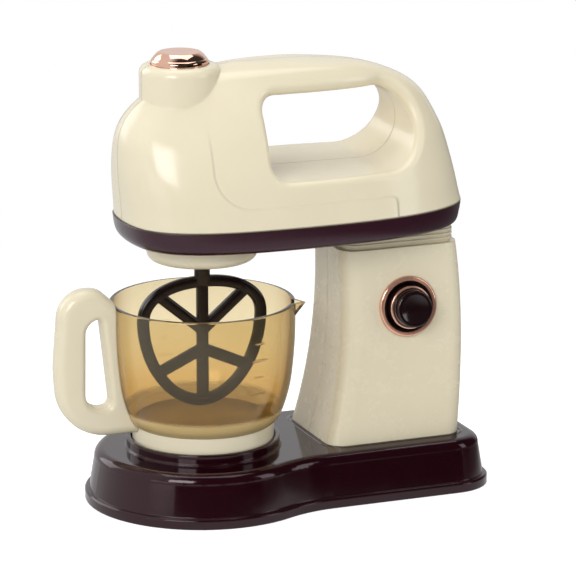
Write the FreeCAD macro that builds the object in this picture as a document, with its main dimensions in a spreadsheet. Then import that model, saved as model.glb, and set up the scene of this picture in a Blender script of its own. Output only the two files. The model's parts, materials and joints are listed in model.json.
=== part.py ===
import FreeCAD, Part
import math
import os

import Sketcher
from FreeCAD import Placement, Rotation, Vector

# Toy stand mixer: a pretend-play kitchen mixer with a tilting head, a paddle and a lift-out bowl.
# The origin is on the floor under the axis of the bowl and the paddle.
# X runs from the bowl to the column, Y away from the side with the round button, Z up.

SIZES = {
    # Base
    "base_height": 24.2,  # floor to the deck
    "base_disc_radius": 54.6,  # skirt under the bowl, at the floor
    "base_rear_half": 43.4,  # half width of the skirt under the column
    "base_waist_radius": 60.0,  # hollow curve between the disc and the rear
    "base_rear_end": 133.0,  # bowl axis to the rear of the skirt
    "base_corner_radius": 20.0,  # rear corners of the skirt in plan
    "base_draft": 9.5,  # lean of the skirt in degrees
    "base_edge_radius": 4.5,  # rounding of the deck's edge
    "base_wall": 2.2,  # thickness of the skirt and the deck
    "lip_height": 4.8,  # band round the foot of the skirt
    "lip_proud": 1.2,  # how far the band stands out
    "cover_thick": 2.0,  # plate that closes the base
    "screw_sink": 1.0,  # depth of the screws' recesses in the plate
    "seat_radius": 36.1,  # outer radius of the bowl's seat
    "seat_inner_radius": 34.1,  # recess that the foot drops into
    "seat_top": 29.3,  # top of the seat above the floor
    "seat_floor": 25.2,  # bottom of the recess above the floor
    # Bowl
    "bowl_rim_top": 94.5,  # rim above the floor
    "bowl_rim_radius": 43.3,  # outer radius at the rim
    "bowl_middle_radius": 42.0,  # outer radius at the middle height
    "bowl_middle_height": 61.0,  # where the wall starts to turn in
    "bowl_low_radius": 37.2,  # outer radius where the bottom corner starts
    "bowl_low_height": 41.5,  # height of that corner
    "bowl_foot_radius": 33.3,  # outer radius of the bottom and the foot
    "bowl_bottom": 36.4,  # underside of the clear bottom
    "bowl_wall": 1.8,  # thickness of the clear wall
    "foot_bottom": 25.5,  # underside of the foot
    "foot_ring_wall": 3.0,  # thickness of the foot's ring
    "spout_reach": 48.5,  # bowl axis to the tip of the spout
    "spout_depth": 9.0,  # height of the spout down the wall
    "spout_half_width": 6.5,  # half width of the spout at the rim
    "spout_turn": -27.0,  # direction of the spout in degrees
    # Handle
    "handle_reach": 71.9,  # bowl axis to the outside of the grip
    "handle_grip": 14.2,  # thickness of the grip
    "handle_width": 12.5,  # width of the grip across
    "handle_top": 103.9,  # top of the handle above the floor
    "handle_bottom": 33.6,  # bottom of the handle above the floor
    "handle_bar": 12.6,  # thickness of the top and bottom bars
    "handle_post": 5.8,  # thickness of the post along the bowl
    "handle_rounding": 4.6,  # rounding of the handle's edges
    "handle_turn": 176.0,  # direction of the handle in degrees
    # Column
    "column_top": 116.0,  # top of the column above the floor
    "column_foot_front": 53.7,  # front of the column at the deck
    "column_waist_front": 60.9,  # front a quarter of the way up
    "column_top_front": 62.4,  # front of the column at the top
    "column_foot_rear": 121.0,  # rear of the column at the deck
    "column_belly_rear": 124.2,  # rear of the column half way up
    "column_top_rear": 122.0,  # rear of the column at the top
    "column_foot_half": 28.6,  # half width at the deck
    "column_top_half": 21.5,  # half width at the top
    "column_corner": 8.5,  # radius of the upright corners
    "column_wall": 2.2,  # thickness of the column's shells
    "column_floor": 2.0,  # thickness of the column's floor and roof
    "column_boss": 9.0,  # height of the screw bosses in the column's foot
    "neck_top": 124.3,  # top of the ribbed neck above the floor
    "neck_inset": 2.4,  # neck inside the column's outline
    "neck_rib": 0.8,  # depth of the ribs on the neck
    "neck_rib_pitch": 2.0,  # spacing of the ribs
    # Hinge
    "hinge_reach": 115.0,  # bowl axis to the hinge pin
    "hinge_height": 129.0,  # hinge pin above the floor
    "pin_radius": 1.5,  # hinge pin
    "pin_play": 0.05,  # running clearance round the pin
    "pin_length": 33.0,  # hinge pin
    "ear_radius": 4.2,  # rounded top of the hinge ears
    "ear_thick": 3.6,  # thickness of an ear
    "ear_spread": 14.6,  # centre line to the middle of an ear
    "lug_thick": 3.0,  # thickness of the head's hinge lugs
    "lug_inner": 9.4,  # centre line to the inner face of a lug
    "neck_opening_front": 105.6,  # front of the opening in the head's floor for the neck
    "neck_opening_half": 20.9,  # half width of that opening
    # Head
    "band_top": 135.5,  # top edge of the dark band above the floor
    "band_height": 10.8,  # height of the dark band
    "band_floor": 2.0,  # thickness of the head's floor
    "head_front": 39.4,  # bowl axis to the nose
    "head_rear": 127.0,  # bowl axis to the rear
    "head_middle": 41.0,  # bowl axis to the widest place
    "head_half": 44.0,  # half width at the band
    "head_top": 206.2,  # top of the handle above the floor
    "head_wall": 2.2,  # thickness of the head's shells
    "grip_hole_front": 21.0,  # front of the finger hole
    "grip_hole_rear": 97.0,  # rear of the finger hole
    "grip_hole_bottom": 156.0,  # bottom of the finger hole
    "grip_hole_top": 192.3,  # top of the finger hole
    "grip_hole_front_corner": 8.0,  # front corners of the finger hole
    "grip_hole_roll": 3.5,  # rolled edge of the finger hole
    "boss_radius": 18.7,  # turret that carries the top button
    "boss_centre": 10.3,  # turret ahead of the bowl axis
    "boss_top": 207.0,  # top of the turret above the floor
    "boss_rounding": 4.0,  # rounding of the turret's top
    # Drive
    "gearbox_radius": 25.8,  # cup under the head
    "gearbox_bottom": 114.5,  # underside of the cup above the floor
    "gearbox_rounding": 4.0,  # rounding of the cup's lower edge
    "gearbox_wall": 2.0,  # thickness of the cup
    "gear_module": 0.8,  # tooth size
    "pinion_teeth": 10,  # teeth on the motor's pinion
    "wheel_teeth": 36,  # teeth on the paddle's wheel
    "gear_thick": 3.0,  # thickness of the wheel
    "gear_lift": 119.6,  # underside of the wheel above the floor
    "motor_radius": 10.0,  # motor can
    "motor_length": 25.0,  # motor can
    "motor_shaft_radius": 1.0,  # motor shaft
    "motor_clearance": 9.2,  # top of the wheel to the motor's can
    "bracket_thick": 1.6,  # plate that carries the motor
    "bracket_half": 13.0,  # half width of that plate
    "bracket_front": 30.5,  # spindle axis to the front of the plate
    "bracket_rear": 9.0,  # spindle axis to the rear of the plate
    "bracket_span": 30.0,  # centre line to the outside of the side feet
    "bracket_foot": 4.0,  # thickness of the bracket's feet
    "spindle_radius": 3.0,  # spindle in its bush
    "spindle_play": 0.08,  # running clearance round the spindle
    "bush_radius": 6.0,  # bush that the spindle turns in
    # Paddle
    "shaft_radius": 3.75,  # paddle shaft
    "paddle_top": 106.0,  # top of the paddle's rim above the floor
    "paddle_bottom": 43.6,  # bottom of the rim above the floor
    "paddle_half": 31.8,  # half width of the rim
    "paddle_wide_height": 86.0,  # height of the widest place
    "paddle_bar": 5.4,  # width of the rim and the spokes
    "paddle_thick": 4.2,  # thickness of the paddle
    "upper_spoke_height": 80.0,  # where the upper spokes meet
    "upper_spoke_angle": 40.0,  # rise of the upper spokes in degrees
    "lower_spoke_height": 71.0,  # where the lower spokes meet
    "lower_spoke_angle": 24.0,  # fall of the lower spokes in degrees
    # Buttons
    "knob_reach": 94.0,  # bowl axis to the round button
    "knob_height": 87.9,  # round button above the floor
    "bezel_radius": 14.5,  # outer radius of the copper ring
    "bezel_inner_radius": 12.3,  # inner radius of the copper ring
    "bezel_proud": 1.8,  # how far the copper ring stands out
    "knob_radius": 8.6,  # round button at its face
    "knob_base_radius": 11.2,  # round button at its root
    "knob_proud": 9.5,  # how far the button stands out
    "knob_dish": 0.9,  # hollow of the button's face
    "knob_trim_radius": 10.2,  # copper ring on the button
    "knob_trim_height": 3.4,  # place of that ring up the button
    "knob_travel": 2.5,  # how far the button goes in
    "top_button_radius": 13.2,  # button on the turret
    "top_button_face": 9.6,  # flat on top of that button
    "top_button_proud": 5.6,  # how far it stands out of the turret
    "top_button_travel": 2.5,  # how far it goes down
    "button_play": 0.3,  # clearance round the buttons
    "spring_wire": 0.8,  # wire of the button springs
    "spring_radius": 4.0,  # radius of the button springs
    "spring_length": 9.0,  # button springs at rest
    "knob_root": 7.6,  # depth of the round button behind the column's side
    "top_button_root": 5.5,  # depth of the top button in the turret
    # Power
    "cell_radius": 7.1,  # battery cell
    "cell_length": 50.0,  # battery cell
    "cell_centre": 88.0,  # bowl axis to the middle of the cells
    "cell_gap": 1.0,  # between the two cells
    "cell_room": 0.8,  # clearance over and under the cells
    "cell_side_room": 1.5,  # clearance beside the cells
    "cell_end_room": 3.0,  # room for the contacts at the cells' ends
    "box_wall": 1.4,  # thickness of the battery box
    "screw_radius": 1.4,  # screw shanks
    "screw_head_radius": 2.6,  # screw heads
    "screw_length": 9.0,  # screws under the base
    "fit_gap": 0.3,  # clearance between pieces that move apart
}

doc = FreeCAD.newDocument("ToyMixer")
sheet = doc.addObject("Spreadsheet::Sheet", "Sizes")


class Size:
    """A length that knows its value and the sheet formula that gives it."""

    def __init__(self, value, text):
        self.value = value
        self.text = text

    def __add__(self, other):
        return Size(self.value + number(other), f"({self.text} + {formula(other)})")

    def __radd__(self, other):
        return Size(number(other) + self.value, f"({formula(other)} + {self.text})")

    def __sub__(self, other):
        return Size(self.value - number(other), f"({self.text} - {formula(other)})")

    def __rsub__(self, other):
        return Size(number(other) - self.value, f"({formula(other)} - {self.text})")

    def __mul__(self, other):
        return Size(self.value * number(other), f"({self.text} * {formula(other)})")

    def __rmul__(self, other):
        return self * other

    def __truediv__(self, other):
        return Size(self.value / number(other), f"({self.text} / {formula(other)})")

    def __neg__(self):
        return Size(-self.value, f"(0 - {self.text})")


def number(size):
    return size.value if isinstance(size, Size) else float(size)


def formula(size):
    return size.text if isinstance(size, Size) else f"{size:.6f}"


def root(size):
    return Size(math.sqrt(size.value), f"sqrt({size.text})")


def sine(size):
    return Size(math.sin(math.radians(size.value)), f"sin({size.text})")


def cosine(size):
    return Size(math.cos(math.radians(size.value)), f"cos({size.text})")


def fill_sheet():
    for row, (alias, value) in enumerate(SIZES.items(), start=1):
        sheet.set(f"A{row}", alias)
        sheet.set(f"B{row}", str(value))
        sheet.setAlias(f"B{row}", alias)
    doc.recompute()


class Sheet:
    """The sheet's sizes by name."""

    def __getattr__(self, alias):
        return Size(float(sheet.get(alias)), f"Sizes.{alias}")


fill_sheet()
size = Sheet()


# Helpers that bind objects to the sheet

def bind(thing, name, length):
    if isinstance(length, Size):
        thing.setExpression(name, length.text)
    else:
        setattr(thing, name, length)


def place(thing, x=0, y=0, z=0, rotation=None):
    spot = Vector(number(x), number(y), number(z))
    thing.Placement = Placement(spot, rotation or Rotation())
    for axis, length in (("x", x), ("y", y), ("z", z)):
        if isinstance(length, Size):
            thing.setExpression(f"Placement.Base.{axis}", length.text)


def new_body(label):
    body = doc.addObject("PartDesign::Body", label)
    body.Label = label
    return body


def new_sketch(body, name, role, lift=0):
    """A sketch on one of the body's own planes, lifted along that plane's normal."""
    sketch = body.newObject("Sketcher::SketchObject", name)
    planes = [item for item in body.Origin.OriginFeatures if item.Role == role]
    sketch.AttachmentSupport = [(planes[0], "")]
    sketch.MapMode = "FlatFace"
    sketch.AttachmentOffset = Placement(Vector(0, 0, number(lift)), Rotation())
    if isinstance(lift, Size):
        sketch.setExpression("AttachmentOffset.Base.z", lift.text)
    return sketch


def arc_through(start, end, radius):
    """The arc of under half a circle from start to end: a positive radius turns left."""
    chord = end - start
    middle = (start + end) * 0.5
    half = chord.Length / 2
    rise = math.sqrt(max(radius * radius - half * half, 0))
    left = Vector(-chord.y, chord.x, 0)
    left.normalize()
    centre = middle + left * (rise if radius > 0 else -rise)
    first = math.atan2(start.y - centre.y, start.x - centre.x)
    last = math.atan2(end.y - centre.y, end.x - centre.x)
    if radius < 0:
        first, last = last, first
    circle = Part.Circle(centre, Vector(0, 0, 1), abs(radius))
    return Part.ArcOfCircle(circle, first, last)


def pin_coordinate(sketch, kind, geo, pos, length):
    """Fix one coordinate of a point, with the datum kept positive."""
    value = number(length)
    if abs(value) < 1e-7 and not isinstance(length, Size):
        axis = -2 if kind == "DistanceX" else -1
        sketch.addConstraint(Sketcher.Constraint("PointOnObject", geo, pos, axis))
        return
    if value > 0:
        entry = Sketcher.Constraint(kind, -1, 1, geo, pos, value)
    else:
        entry = Sketcher.Constraint(kind, geo, pos, -1, 1, -value)
    index = sketch.addConstraint(entry)
    if isinstance(length, Size):
        signed = length if value > 0 else -length
        sketch.setExpression(f"Constraints[{index}]", signed.text)


def draw(sketch, path):
    """A closed outline: each corner is (x, y) for a line to the next, or (x, y, radius) for an arc."""
    first = sketch.GeometryCount
    count = len(path)
    starts = []
    for index, corner in enumerate(path):
        following = path[(index + 1) % count]
        start = Vector(number(corner[0]), number(corner[1]), 0)
        end = Vector(number(following[0]), number(following[1]), 0)
        turn = number(corner[2]) if len(corner) == 3 else 0
        piece = arc_through(start, end, turn) if turn else Part.LineSegment(start, end)
        sketch.addGeometry(piece, False)
        starts.append(2 if turn < 0 else 1)
    for index, corner in enumerate(path):
        previous = (index - 1) % count
        entry = (first + previous, 3 - starts[previous], first + index, starts[index])
        sketch.addConstraint(Sketcher.Constraint("Coincident", *entry))
    for index, corner in enumerate(path):
        pin_coordinate(sketch, "DistanceX", first + index, starts[index], corner[0])
        pin_coordinate(sketch, "DistanceY", first + index, starts[index], corner[1])
        if len(corner) == 3:
            turn = corner[2]
            entry = Sketcher.Constraint("Radius", first + index, abs(number(turn)))
            datum = sketch.addConstraint(entry)
            if isinstance(turn, Size):
                signed = turn if turn.value > 0 else -turn
                sketch.setExpression(f"Constraints[{datum}]", signed.text)


def draw_circle(sketch, x, y, radius):
    geo = sketch.addGeometry(Part.Circle(Vector(number(x), number(y), 0), Vector(0, 0, 1), number(radius)))
    if number(x) == 0 and number(y) == 0:
        sketch.addConstraint(Sketcher.Constraint("Coincident", geo, 3, -1, 1))
    else:
        pin_coordinate(sketch, "DistanceX", geo, 3, x)
        pin_coordinate(sketch, "DistanceY", geo, 3, y)
    datum = sketch.addConstraint(Sketcher.Constraint("Radius", geo, number(radius)))
    if isinstance(radius, Size):
        sketch.setExpression(f"Constraints[{datum}]", radius.text)


def rectangle(x_low, y_low, x_high, y_high):
    return [(x_low, y_low), (x_high, y_low), (x_high, y_high), (x_low, y_high)]


def pad(body, name, sketch, length, both_ways=False, reverse=False):
    feature = body.newObject("PartDesign::Pad", name)
    feature.Profile = sketch
    bind(feature, "Length", length)
    feature.Reversed = reverse
    if both_ways:
        feature.SideType = "Symmetric"
    return feature


def pocket(body, name, sketch, length, both_ways=False, reverse=False):
    feature = body.newObject("PartDesign::Pocket", name)
    feature.Profile = sketch
    bind(feature, "Length", length)
    feature.Reversed = reverse
    if both_ways:
        feature.SideType = "Symmetric"
    return feature


def revolve(body, name, sketch, groove=False):
    kind = "PartDesign::Groove" if groove else "PartDesign::Revolution"
    feature = body.newObject(kind, name)
    feature.Profile = sketch
    feature.ReferenceAxis = (sketch, ["V_Axis"])
    feature.Angle = 360
    return feature


def fillet(body, name, feature, radius, test):
    """Round the edges of a feature that pass the test."""
    doc.recompute()
    names = [f"Edge{index + 1}" for index, edge in enumerate(feature.Shape.Edges) if test(edge)]
    if not names:
        raise ValueError(f"{name} finds no edge to round")
    rounding = body.newObject("PartDesign::Fillet", name)
    rounding.Base = (feature, names)
    bind(rounding, "Radius", radius)
    return rounding


def at_height(edge, height):
    box = edge.BoundBox
    return abs(box.ZMin - height) < 0.01 and abs(box.ZMax - height) < 0.01


def turned_piece(label, outline):
    """A round piece: its half outline turned about the body's own Z axis."""
    body = new_body(label)
    sketch = new_sketch(body, f"{label}_outline", "XZ_Plane")
    draw(sketch, outline)
    revolve(body, f"{label}_turn", sketch)
    return body


def feature(label, shape, rotation=None, spot=None):
    """A piece whose shape comes from Part's own functions and the sheet's sizes."""
    item = doc.addObject("Part::Feature", label)
    item.Label = label
    item.Shape = shape
    item.Placement = Placement(spot or Vector(), rotation or Rotation())
    return item


def rounded_loop(corners):
    """A closed wire in the XZ plane: corners are (x, z, radius), a radius of 0 stays sharp."""
    runs = []
    for index, (x, z, radius) in enumerate(corners):
        spot = Vector(x, 0, z)
        before = corners[index - 1]
        after = corners[(index + 1) % len(corners)]
        back = (Vector(before[0], 0, before[1]) - spot).normalize()
        ahead = (Vector(after[0], 0, after[1]) - spot).normalize()
        if radius == 0:
            runs.append((spot, None, spot))
            continue
        half_angle = math.acos(max(-1.0, min(1.0, back.dot(ahead)))) / 2
        reach = radius / math.tan(half_angle)
        centre = spot + (back + ahead).normalize() * (radius / math.sin(half_angle))
        middle = centre + (spot - centre).normalize() * radius
        runs.append((spot + back * reach, middle, spot + ahead * reach))
    edges = []
    for index, (start, middle, end) in enumerate(runs):
        if middle is not None:
            edges.append(Part.Arc(start, middle, end).toShape())
        following = runs[(index + 1) % len(runs)][0]
        if (following - end).Length > 1e-4:
            edges.append(Part.makeLine(end, following))
    return Part.Wire(edges)


# Base: a skirted foot, round under the bowl and blunt under the column

def base_outline(spread):
    """The base in plan, moved out by spread: disc, hollow waist, straight sides, round corners."""
    disc = size.base_disc_radius + spread
    waist = size.base_waist_radius - spread
    side = size.base_rear_half + spread
    end = size.base_rear_end + spread
    corner = size.base_corner_radius + spread
    centre_y = side + waist
    reach = disc + waist
    centre_x = root(reach * reach - centre_y * centre_y)
    join_x = centre_x * disc / reach
    join_y = centre_y * disc / reach
    return [
        (-disc, 0, disc),
        (0, -disc, disc),
        (join_x, -join_y, -waist),
        (centre_x, -side),
        (end - corner, -side, corner),
        (end, -side + corner),
        (end, side - corner, corner),
        (end - corner, side),
        (centre_x, side, -waist),
        (join_x, join_y, disc),
        (0, disc, disc),
    ]


def lean(length, height):
    """How far a drafted skirt moves in over a height."""
    return length * Size(math.tan(math.radians(size.base_draft.value)), "tan(Sizes.base_draft)") * height


def base_loft(body, name, rows, kind="PartDesign::AdditiveLoft", ruled=True):
    """A loft through the base's outline at rows of height and spread."""
    sketches = []
    for index, (height, spread) in enumerate(rows):
        section = new_sketch(body, f"{name}_{index}", "XY_Plane", height)
        draw(section, base_outline(spread))
        sketches.append(section)
    loft = body.newObject(kind, name)
    loft.Profile = sketches[0]
    loft.Sections = sketches[1:]
    loft.Ruled = ruled
    return loft


def rounded_rows(low, spread, high, radius, steps):
    """Rows that carry an outline over a quarter round to its top."""
    rows = []
    for index in range(steps + 1):
        angle = math.radians(90 * index / steps)
        rows.append((high - radius * (1 - math.sin(angle)), spread - radius * (1 - math.cos(angle))))
    return rows


SCREW_SPOTS = [(-30, 34), (-30, -34), (50, 33), (50, -33), (124, 25), (124, -25)]
COLUMN_SCREWS = [(62, 0), (113, 14), (113, -14)]


def base_shell():
    body = new_body("base_shell")
    shoulder = size.base_height - size.base_edge_radius
    base_loft(body, "skirt", [(0, 0), (shoulder, -lean(1, shoulder))])
    base_loft(body, "deck_round", rounded_rows(shoulder, -lean(1, shoulder), size.base_height,
                                               size.base_edge_radius, 3), ruled=False)
    lip_edge = size.lip_proud * 0.7
    base_loft(body, "lip", [(0, size.lip_proud), (size.lip_height - lip_edge, size.lip_proud)])
    base_loft(body, "lip_round", [(size.lip_height - lip_edge, size.lip_proud),
                                  (size.lip_height, size.lip_proud - lip_edge)])
    ceiling = size.base_height - size.base_wall
    inside = -size.base_wall
    hollow_shoulder = ceiling - size.base_edge_radius
    base_loft(body, "hollow", [(0, inside), (hollow_shoulder, inside - lean(1, hollow_shoulder)),
                               (ceiling, inside - lean(1, hollow_shoulder) - size.base_edge_radius)],
              "PartDesign::SubtractiveLoft")
    ring = new_sketch(body, "seat_outline", "XZ_Plane")
    draw(ring, [
        (0, size.base_height - 1),
        (size.seat_radius + 0.6, size.base_height - 1),
        (size.seat_radius + 0.6, size.base_height + 0.4),
        (size.seat_radius, size.base_height + 1),
        (size.seat_radius, size.seat_top - 0.6, 0.6),
        (size.seat_radius - 0.6, size.seat_top),
        (size.seat_inner_radius, size.seat_top),
        (size.seat_inner_radius, size.seat_floor),
        (0, size.seat_floor),
    ])
    revolve(body, "bowl_seat", ring)
    posts = new_sketch(body, "post_circles", "XY_Plane", size.cover_thick)
    for x, y in SCREW_SPOTS:
        draw_circle(posts, x, y, size.screw_head_radius + 1)
    pad(body, "screw_posts", posts, size.base_height - size.cover_thick - 1)
    bores = new_sketch(body, "screw_bores", "XY_Plane", size.cover_thick)
    for x, y in SCREW_SPOTS:
        draw_circle(bores, x, y, size.screw_radius)
    pocket(body, "screw_holes", bores, size.screw_length, reverse=True)
    decks = new_sketch(body, "column_screw_circles", "XY_Plane", size.base_height - 4)
    for x, y in COLUMN_SCREWS:
        draw_circle(decks, x, y, size.screw_radius + 0.2)
    pocket(body, "column_screw_holes", decks, 6, reverse=True)
    return body


def base_cover():
    body = new_body("base_cover")
    plate = new_sketch(body, "cover_outline", "XY_Plane")
    draw(plate, base_outline(-size.base_wall - lean(1, size.cover_thick) - size.fit_gap))
    pad(body, "plate", plate, size.cover_thick)
    shanks = new_sketch(body, "screw_circles", "XY_Plane")
    for x, y in SCREW_SPOTS:
        draw_circle(shanks, x, y, size.screw_radius + 0.2)
    pocket(body, "screw_holes", shanks, size.cover_thick, reverse=True)
    heads = new_sketch(body, "screw_head_circles", "XY_Plane")
    for x, y in SCREW_SPOTS:
        draw_circle(heads, x, y, size.screw_head_radius + 0.3)
    pocket(body, "screw_recesses", heads, size.screw_sink, reverse=True)
    door = new_sketch(body, "door_opening", "XY_Plane")
    draw(door, door_outline(0))
    pocket(body, "door_hole", door, size.cover_thick, reverse=True)
    return body


def door_outline(inset):
    half_x = size.cell_length / 2 + size.cell_end_room - inset
    half_y = size.cell_radius * 2 + size.cell_gap / 2 + size.cell_side_room - inset
    return rectangle(size.cell_centre - half_x, -half_y, size.cell_centre + half_x, half_y)


def battery_door():
    body = new_body("battery_door")
    plate = new_sketch(body, "door_plate", "XY_Plane")
    draw(plate, door_outline(size.fit_gap))
    pad(body, "plate", plate, size.cover_thick)
    return body


def battery_box():
    """The open tray that holds the two cells above the door."""
    body = new_body("battery_box")
    low = size.cover_thick
    roof = low + (size.cell_radius + size.cell_room) * 2
    outer = new_sketch(body, "box_outline", "XY_Plane", low)
    draw(outer, door_outline(-size.box_wall))
    pad(body, "box", outer, roof + size.box_wall - low)
    inner = new_sketch(body, "box_inside", "XY_Plane", low)
    draw(inner, door_outline(0))
    pocket(body, "box_hollow", inner, roof - low, reverse=True)
    return body


def battery_cells():
    cells = []
    height = size.cover_thick + size.cell_radius + size.cell_room
    for side, label in ((-1, "battery_near"), (1, "battery_far")):
        cell = doc.addObject("Part::Cylinder", label)
        cell.Label = label
        bind(cell, "Radius", size.cell_radius)
        bind(cell, "Height", size.cell_length)
        offset = (size.cell_radius + size.cell_gap / 2) * side
        place(cell, size.cell_centre - size.cell_length / 2, offset, height, Rotation(Vector(0, 1, 0), 90))
        cells.append(cell)
    return cells


def screw_group(label, spots, head_face, length, radius, head_radius, head_thick):
    """Screws that point up, with their heads' undersides at head_face."""
    shapes = []
    for x, y in spots:
        foot = Vector(x, y, head_face - head_thick)
        head = Part.makeCylinder(head_radius, head_thick, foot)
        shank = Part.makeCylinder(radius, length, foot)
        slot = Part.makeBox(head_radius * 1.3, 0.7, 0.7, foot - Vector(head_radius * 0.65, 0.35, 0))
        cross = Part.makeBox(0.7, head_radius * 1.3, 0.7, foot - Vector(0.35, head_radius * 0.65, 0))
        shapes.append(head.fuse(shank).cut(slot).cut(cross))
    return feature(label, Part.makeCompound(shapes))


# Column: two shells that meet on the middle plane, flared at the foot

def column_levels(inset):
    """Height, front, rear and half width of the column's sections."""
    foot = size.base_height
    rise = size.column_top - foot
    half_fall = size.column_foot_half - size.column_top_half
    rows = []
    for share, front, rear in (
            (0, size.column_foot_front, size.column_foot_rear),
            (0.28, size.column_waist_front - 1.4, size.column_belly_rear - 1),
            (0.55, size.column_waist_front + 1.6, size.column_belly_rear),
            (1, size.column_top_front, size.column_top_rear)):
        half = size.column_foot_half - half_fall * share
        rows.append((foot + rise * share, front + inset, rear - inset, half - inset))
    return rows


def rounded_section(front, rear, half, corner):
    return [
        (front, -half + corner, corner),
        (front + corner, -half),
        (rear - corner, -half, corner),
        (rear, -half + corner),
        (rear, half - corner, corner),
        (rear - corner, half),
        (front + corner, half, corner),
        (front, half - corner),
    ]


def column_loft(body, name, inset, kind):
    sketches = []
    for index, (height, front, rear, half) in enumerate(column_levels(inset)):
        section = new_sketch(body, f"{name}_{index}", "XY_Plane", height)
        draw(section, rounded_section(front, rear, half, size.column_corner - inset))
        sketches.append(section)
    loft = body.newObject(kind, name)
    loft.Profile = sketches[0]
    loft.Sections = sketches[1:]
    return loft


def column_room(inset):
    """The hollow of the column as a solid."""
    wires = []
    for height, front, rear, half in column_levels(inset):
        wires.append(rounded_wire(front.value, rear.value, half.value, size.column_corner.value - inset,
                                  height.value))
    return Part.makeLoft(wires, True, False)


def rounded_wire(front, rear, half, corner, height):
    """A rectangle with rounded corners at a height, as a closed wire."""
    bend = corner * (1 - math.sqrt(0.5))
    edges = []
    spots = []
    for x, y, turn_x, turn_y in ((front, -half, 1, 1), (rear, -half, -1, 1), (rear, half, -1, -1),
                                 (front, half, 1, -1)):
        along = Vector(x + corner * turn_x, y, height)
        across = Vector(x, y + corner * turn_y, height)
        middle = Vector(x + bend * turn_x, y + bend * turn_y, height)
        order = (across, middle, along) if turn_x == turn_y else (along, middle, across)
        spots.append(order)
    for index, (start, middle, end) in enumerate(spots):
        edges.append(Part.Arc(start, middle, end).toShape())
        edges.append(Part.makeLine(end, spots[(index + 1) % 4][0]))
    return Part.Wire(edges)


def side_lean():
    """The lean of the column's sides, in degrees."""
    fall = size.column_foot_half.value - size.column_top_half.value
    return math.degrees(math.atan(fall / (size.column_top.value - size.base_height.value)))


def knob_face():
    """The middle of the round button on the column's near side."""
    rise = size.knob_height.value - size.base_height.value
    half = size.column_foot_half.value - rise * math.tan(math.radians(side_lean()))
    return Vector(size.knob_reach.value, -half, size.knob_height.value)


def knob_turn():
    """Turns a piece's own Z axis to point out of the column's near side."""
    return Rotation(Vector(1, 0, 0), 90 - side_lean())


def column_shell(label, side):
    body = new_body(label)
    column_loft(body, "outside", 0, "PartDesign::AdditiveLoft")
    column_loft(body, "inside", size.column_wall, "PartDesign::SubtractiveLoft")
    floor = new_sketch(body, "floor_outline", "XY_Plane", size.base_height)
    level = column_levels(size.column_wall * 0.5)[0]
    draw(floor, rounded_section(level[1], level[2], level[3], size.column_corner - 1))
    pad(body, "floor", floor, size.column_floor)
    bosses = new_sketch(body, "screw_boss_circles", "XY_Plane", size.base_height)
    for x, y in COLUMN_SCREWS:
        draw_circle(bosses, x, y, size.screw_radius + 2)
    pad(body, "screw_bosses", bosses, size.column_boss)
    holes = new_sketch(body, "screw_boss_holes", "XY_Plane", size.base_height)
    for x, y in COLUMN_SCREWS:
        draw_circle(holes, x, y, size.screw_radius)
    pocket(body, "boss_holes", holes, size.column_boss - 2, reverse=True)
    roof = new_sketch(body, "roof_outline", "XY_Plane", size.column_top)
    level = column_levels(size.column_wall * 0.5)[3]
    draw(roof, rounded_section(level[1], level[2], level[3], size.column_corner - 1))
    pad(body, "roof", roof, size.column_floor, reverse=True)
    half = new_sketch(body, "half_outline", "XY_Plane", size.base_height - 1)
    reach = size.column_foot_half + 5
    near, far = (0, reach) if side < 0 else (-reach, 0)
    draw(half, rectangle(size.column_foot_front - 5, near, size.column_belly_rear + 5, far))
    pocket(body, "parting", half, size.column_top + 2 - size.base_height, reverse=True)
    if side < 0:
        bore = body.newObject("PartDesign::SubtractiveCylinder", "knob_bore")
        bind(bore, "Radius", size.bezel_inner_radius + 0.6)
        bind(bore, "Height", size.column_wall * 8)
        bore.AttachmentSupport = []
        back = Placement(Vector(0, 0, -size.column_wall.value * 4), Rotation())
        bore.Placement = Placement(knob_face(), knob_turn()).multiply(back)
    return body


def neck_collar():
    """Ribbed collar on the column, with the hinge's ears."""
    body = new_body("neck_collar")
    corner = size.column_corner - size.neck_inset
    half = size.column_top_half - size.neck_inset
    front = size.column_top_front + size.neck_inset
    rear = size.column_top_rear - size.neck_inset
    outline = new_sketch(body, "collar_outline", "XY_Plane", size.column_top)
    draw(outline, rounded_section(front, rear, half, corner))
    pad(body, "collar", outline, size.neck_top - size.column_top)
    for index in range(3):
        low = size.column_top + 1.4 + size.neck_rib_pitch * index
        rib = new_sketch(body, f"rib_{index}", "XY_Plane", low)
        draw(rib, rounded_section(front - size.neck_rib, rear + size.neck_rib, half + size.neck_rib,
                                  corner + size.neck_rib))
        pad(body, f"rib_pad_{index}", rib, size.neck_rib_pitch / 2)
    for index, side in enumerate((-1, 1)):
        ear = new_sketch(body, f"ear_{index}", "XZ_Plane", -(size.ear_spread * side))
        reach = size.hinge_reach
        radius = size.ear_radius
        draw(ear, [
            (reach - radius, size.neck_top - 2),
            (reach + radius, size.neck_top - 2),
            (reach + radius, size.hinge_height, radius),
            (reach, size.hinge_height + radius, radius),
            (reach - radius, size.hinge_height),
        ])
        pad(body, f"ear_pad_{index}", ear, size.ear_thick, both_ways=True)
    bore = new_sketch(body, "pin_bore", "XZ_Plane")
    draw_circle(bore, size.hinge_reach, size.hinge_height, size.pin_radius)
    pocket(body, "pin_holes", bore, size.ear_spread * 4, both_ways=True)
    return body


def hinge_pin():
    pin = doc.addObject("Part::Cylinder", "hinge_pin")
    pin.Label = "hinge_pin"
    bind(pin, "Radius", size.pin_radius)
    bind(pin, "Height", size.pin_length)
    place(pin, size.hinge_reach, size.pin_length / 2, size.hinge_height, Rotation(Vector(1, 0, 0), 90))
    return pin


# Round button on the column

def on_column(body):
    body.Placement = Placement(knob_face(), knob_turn())
    return body


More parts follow.
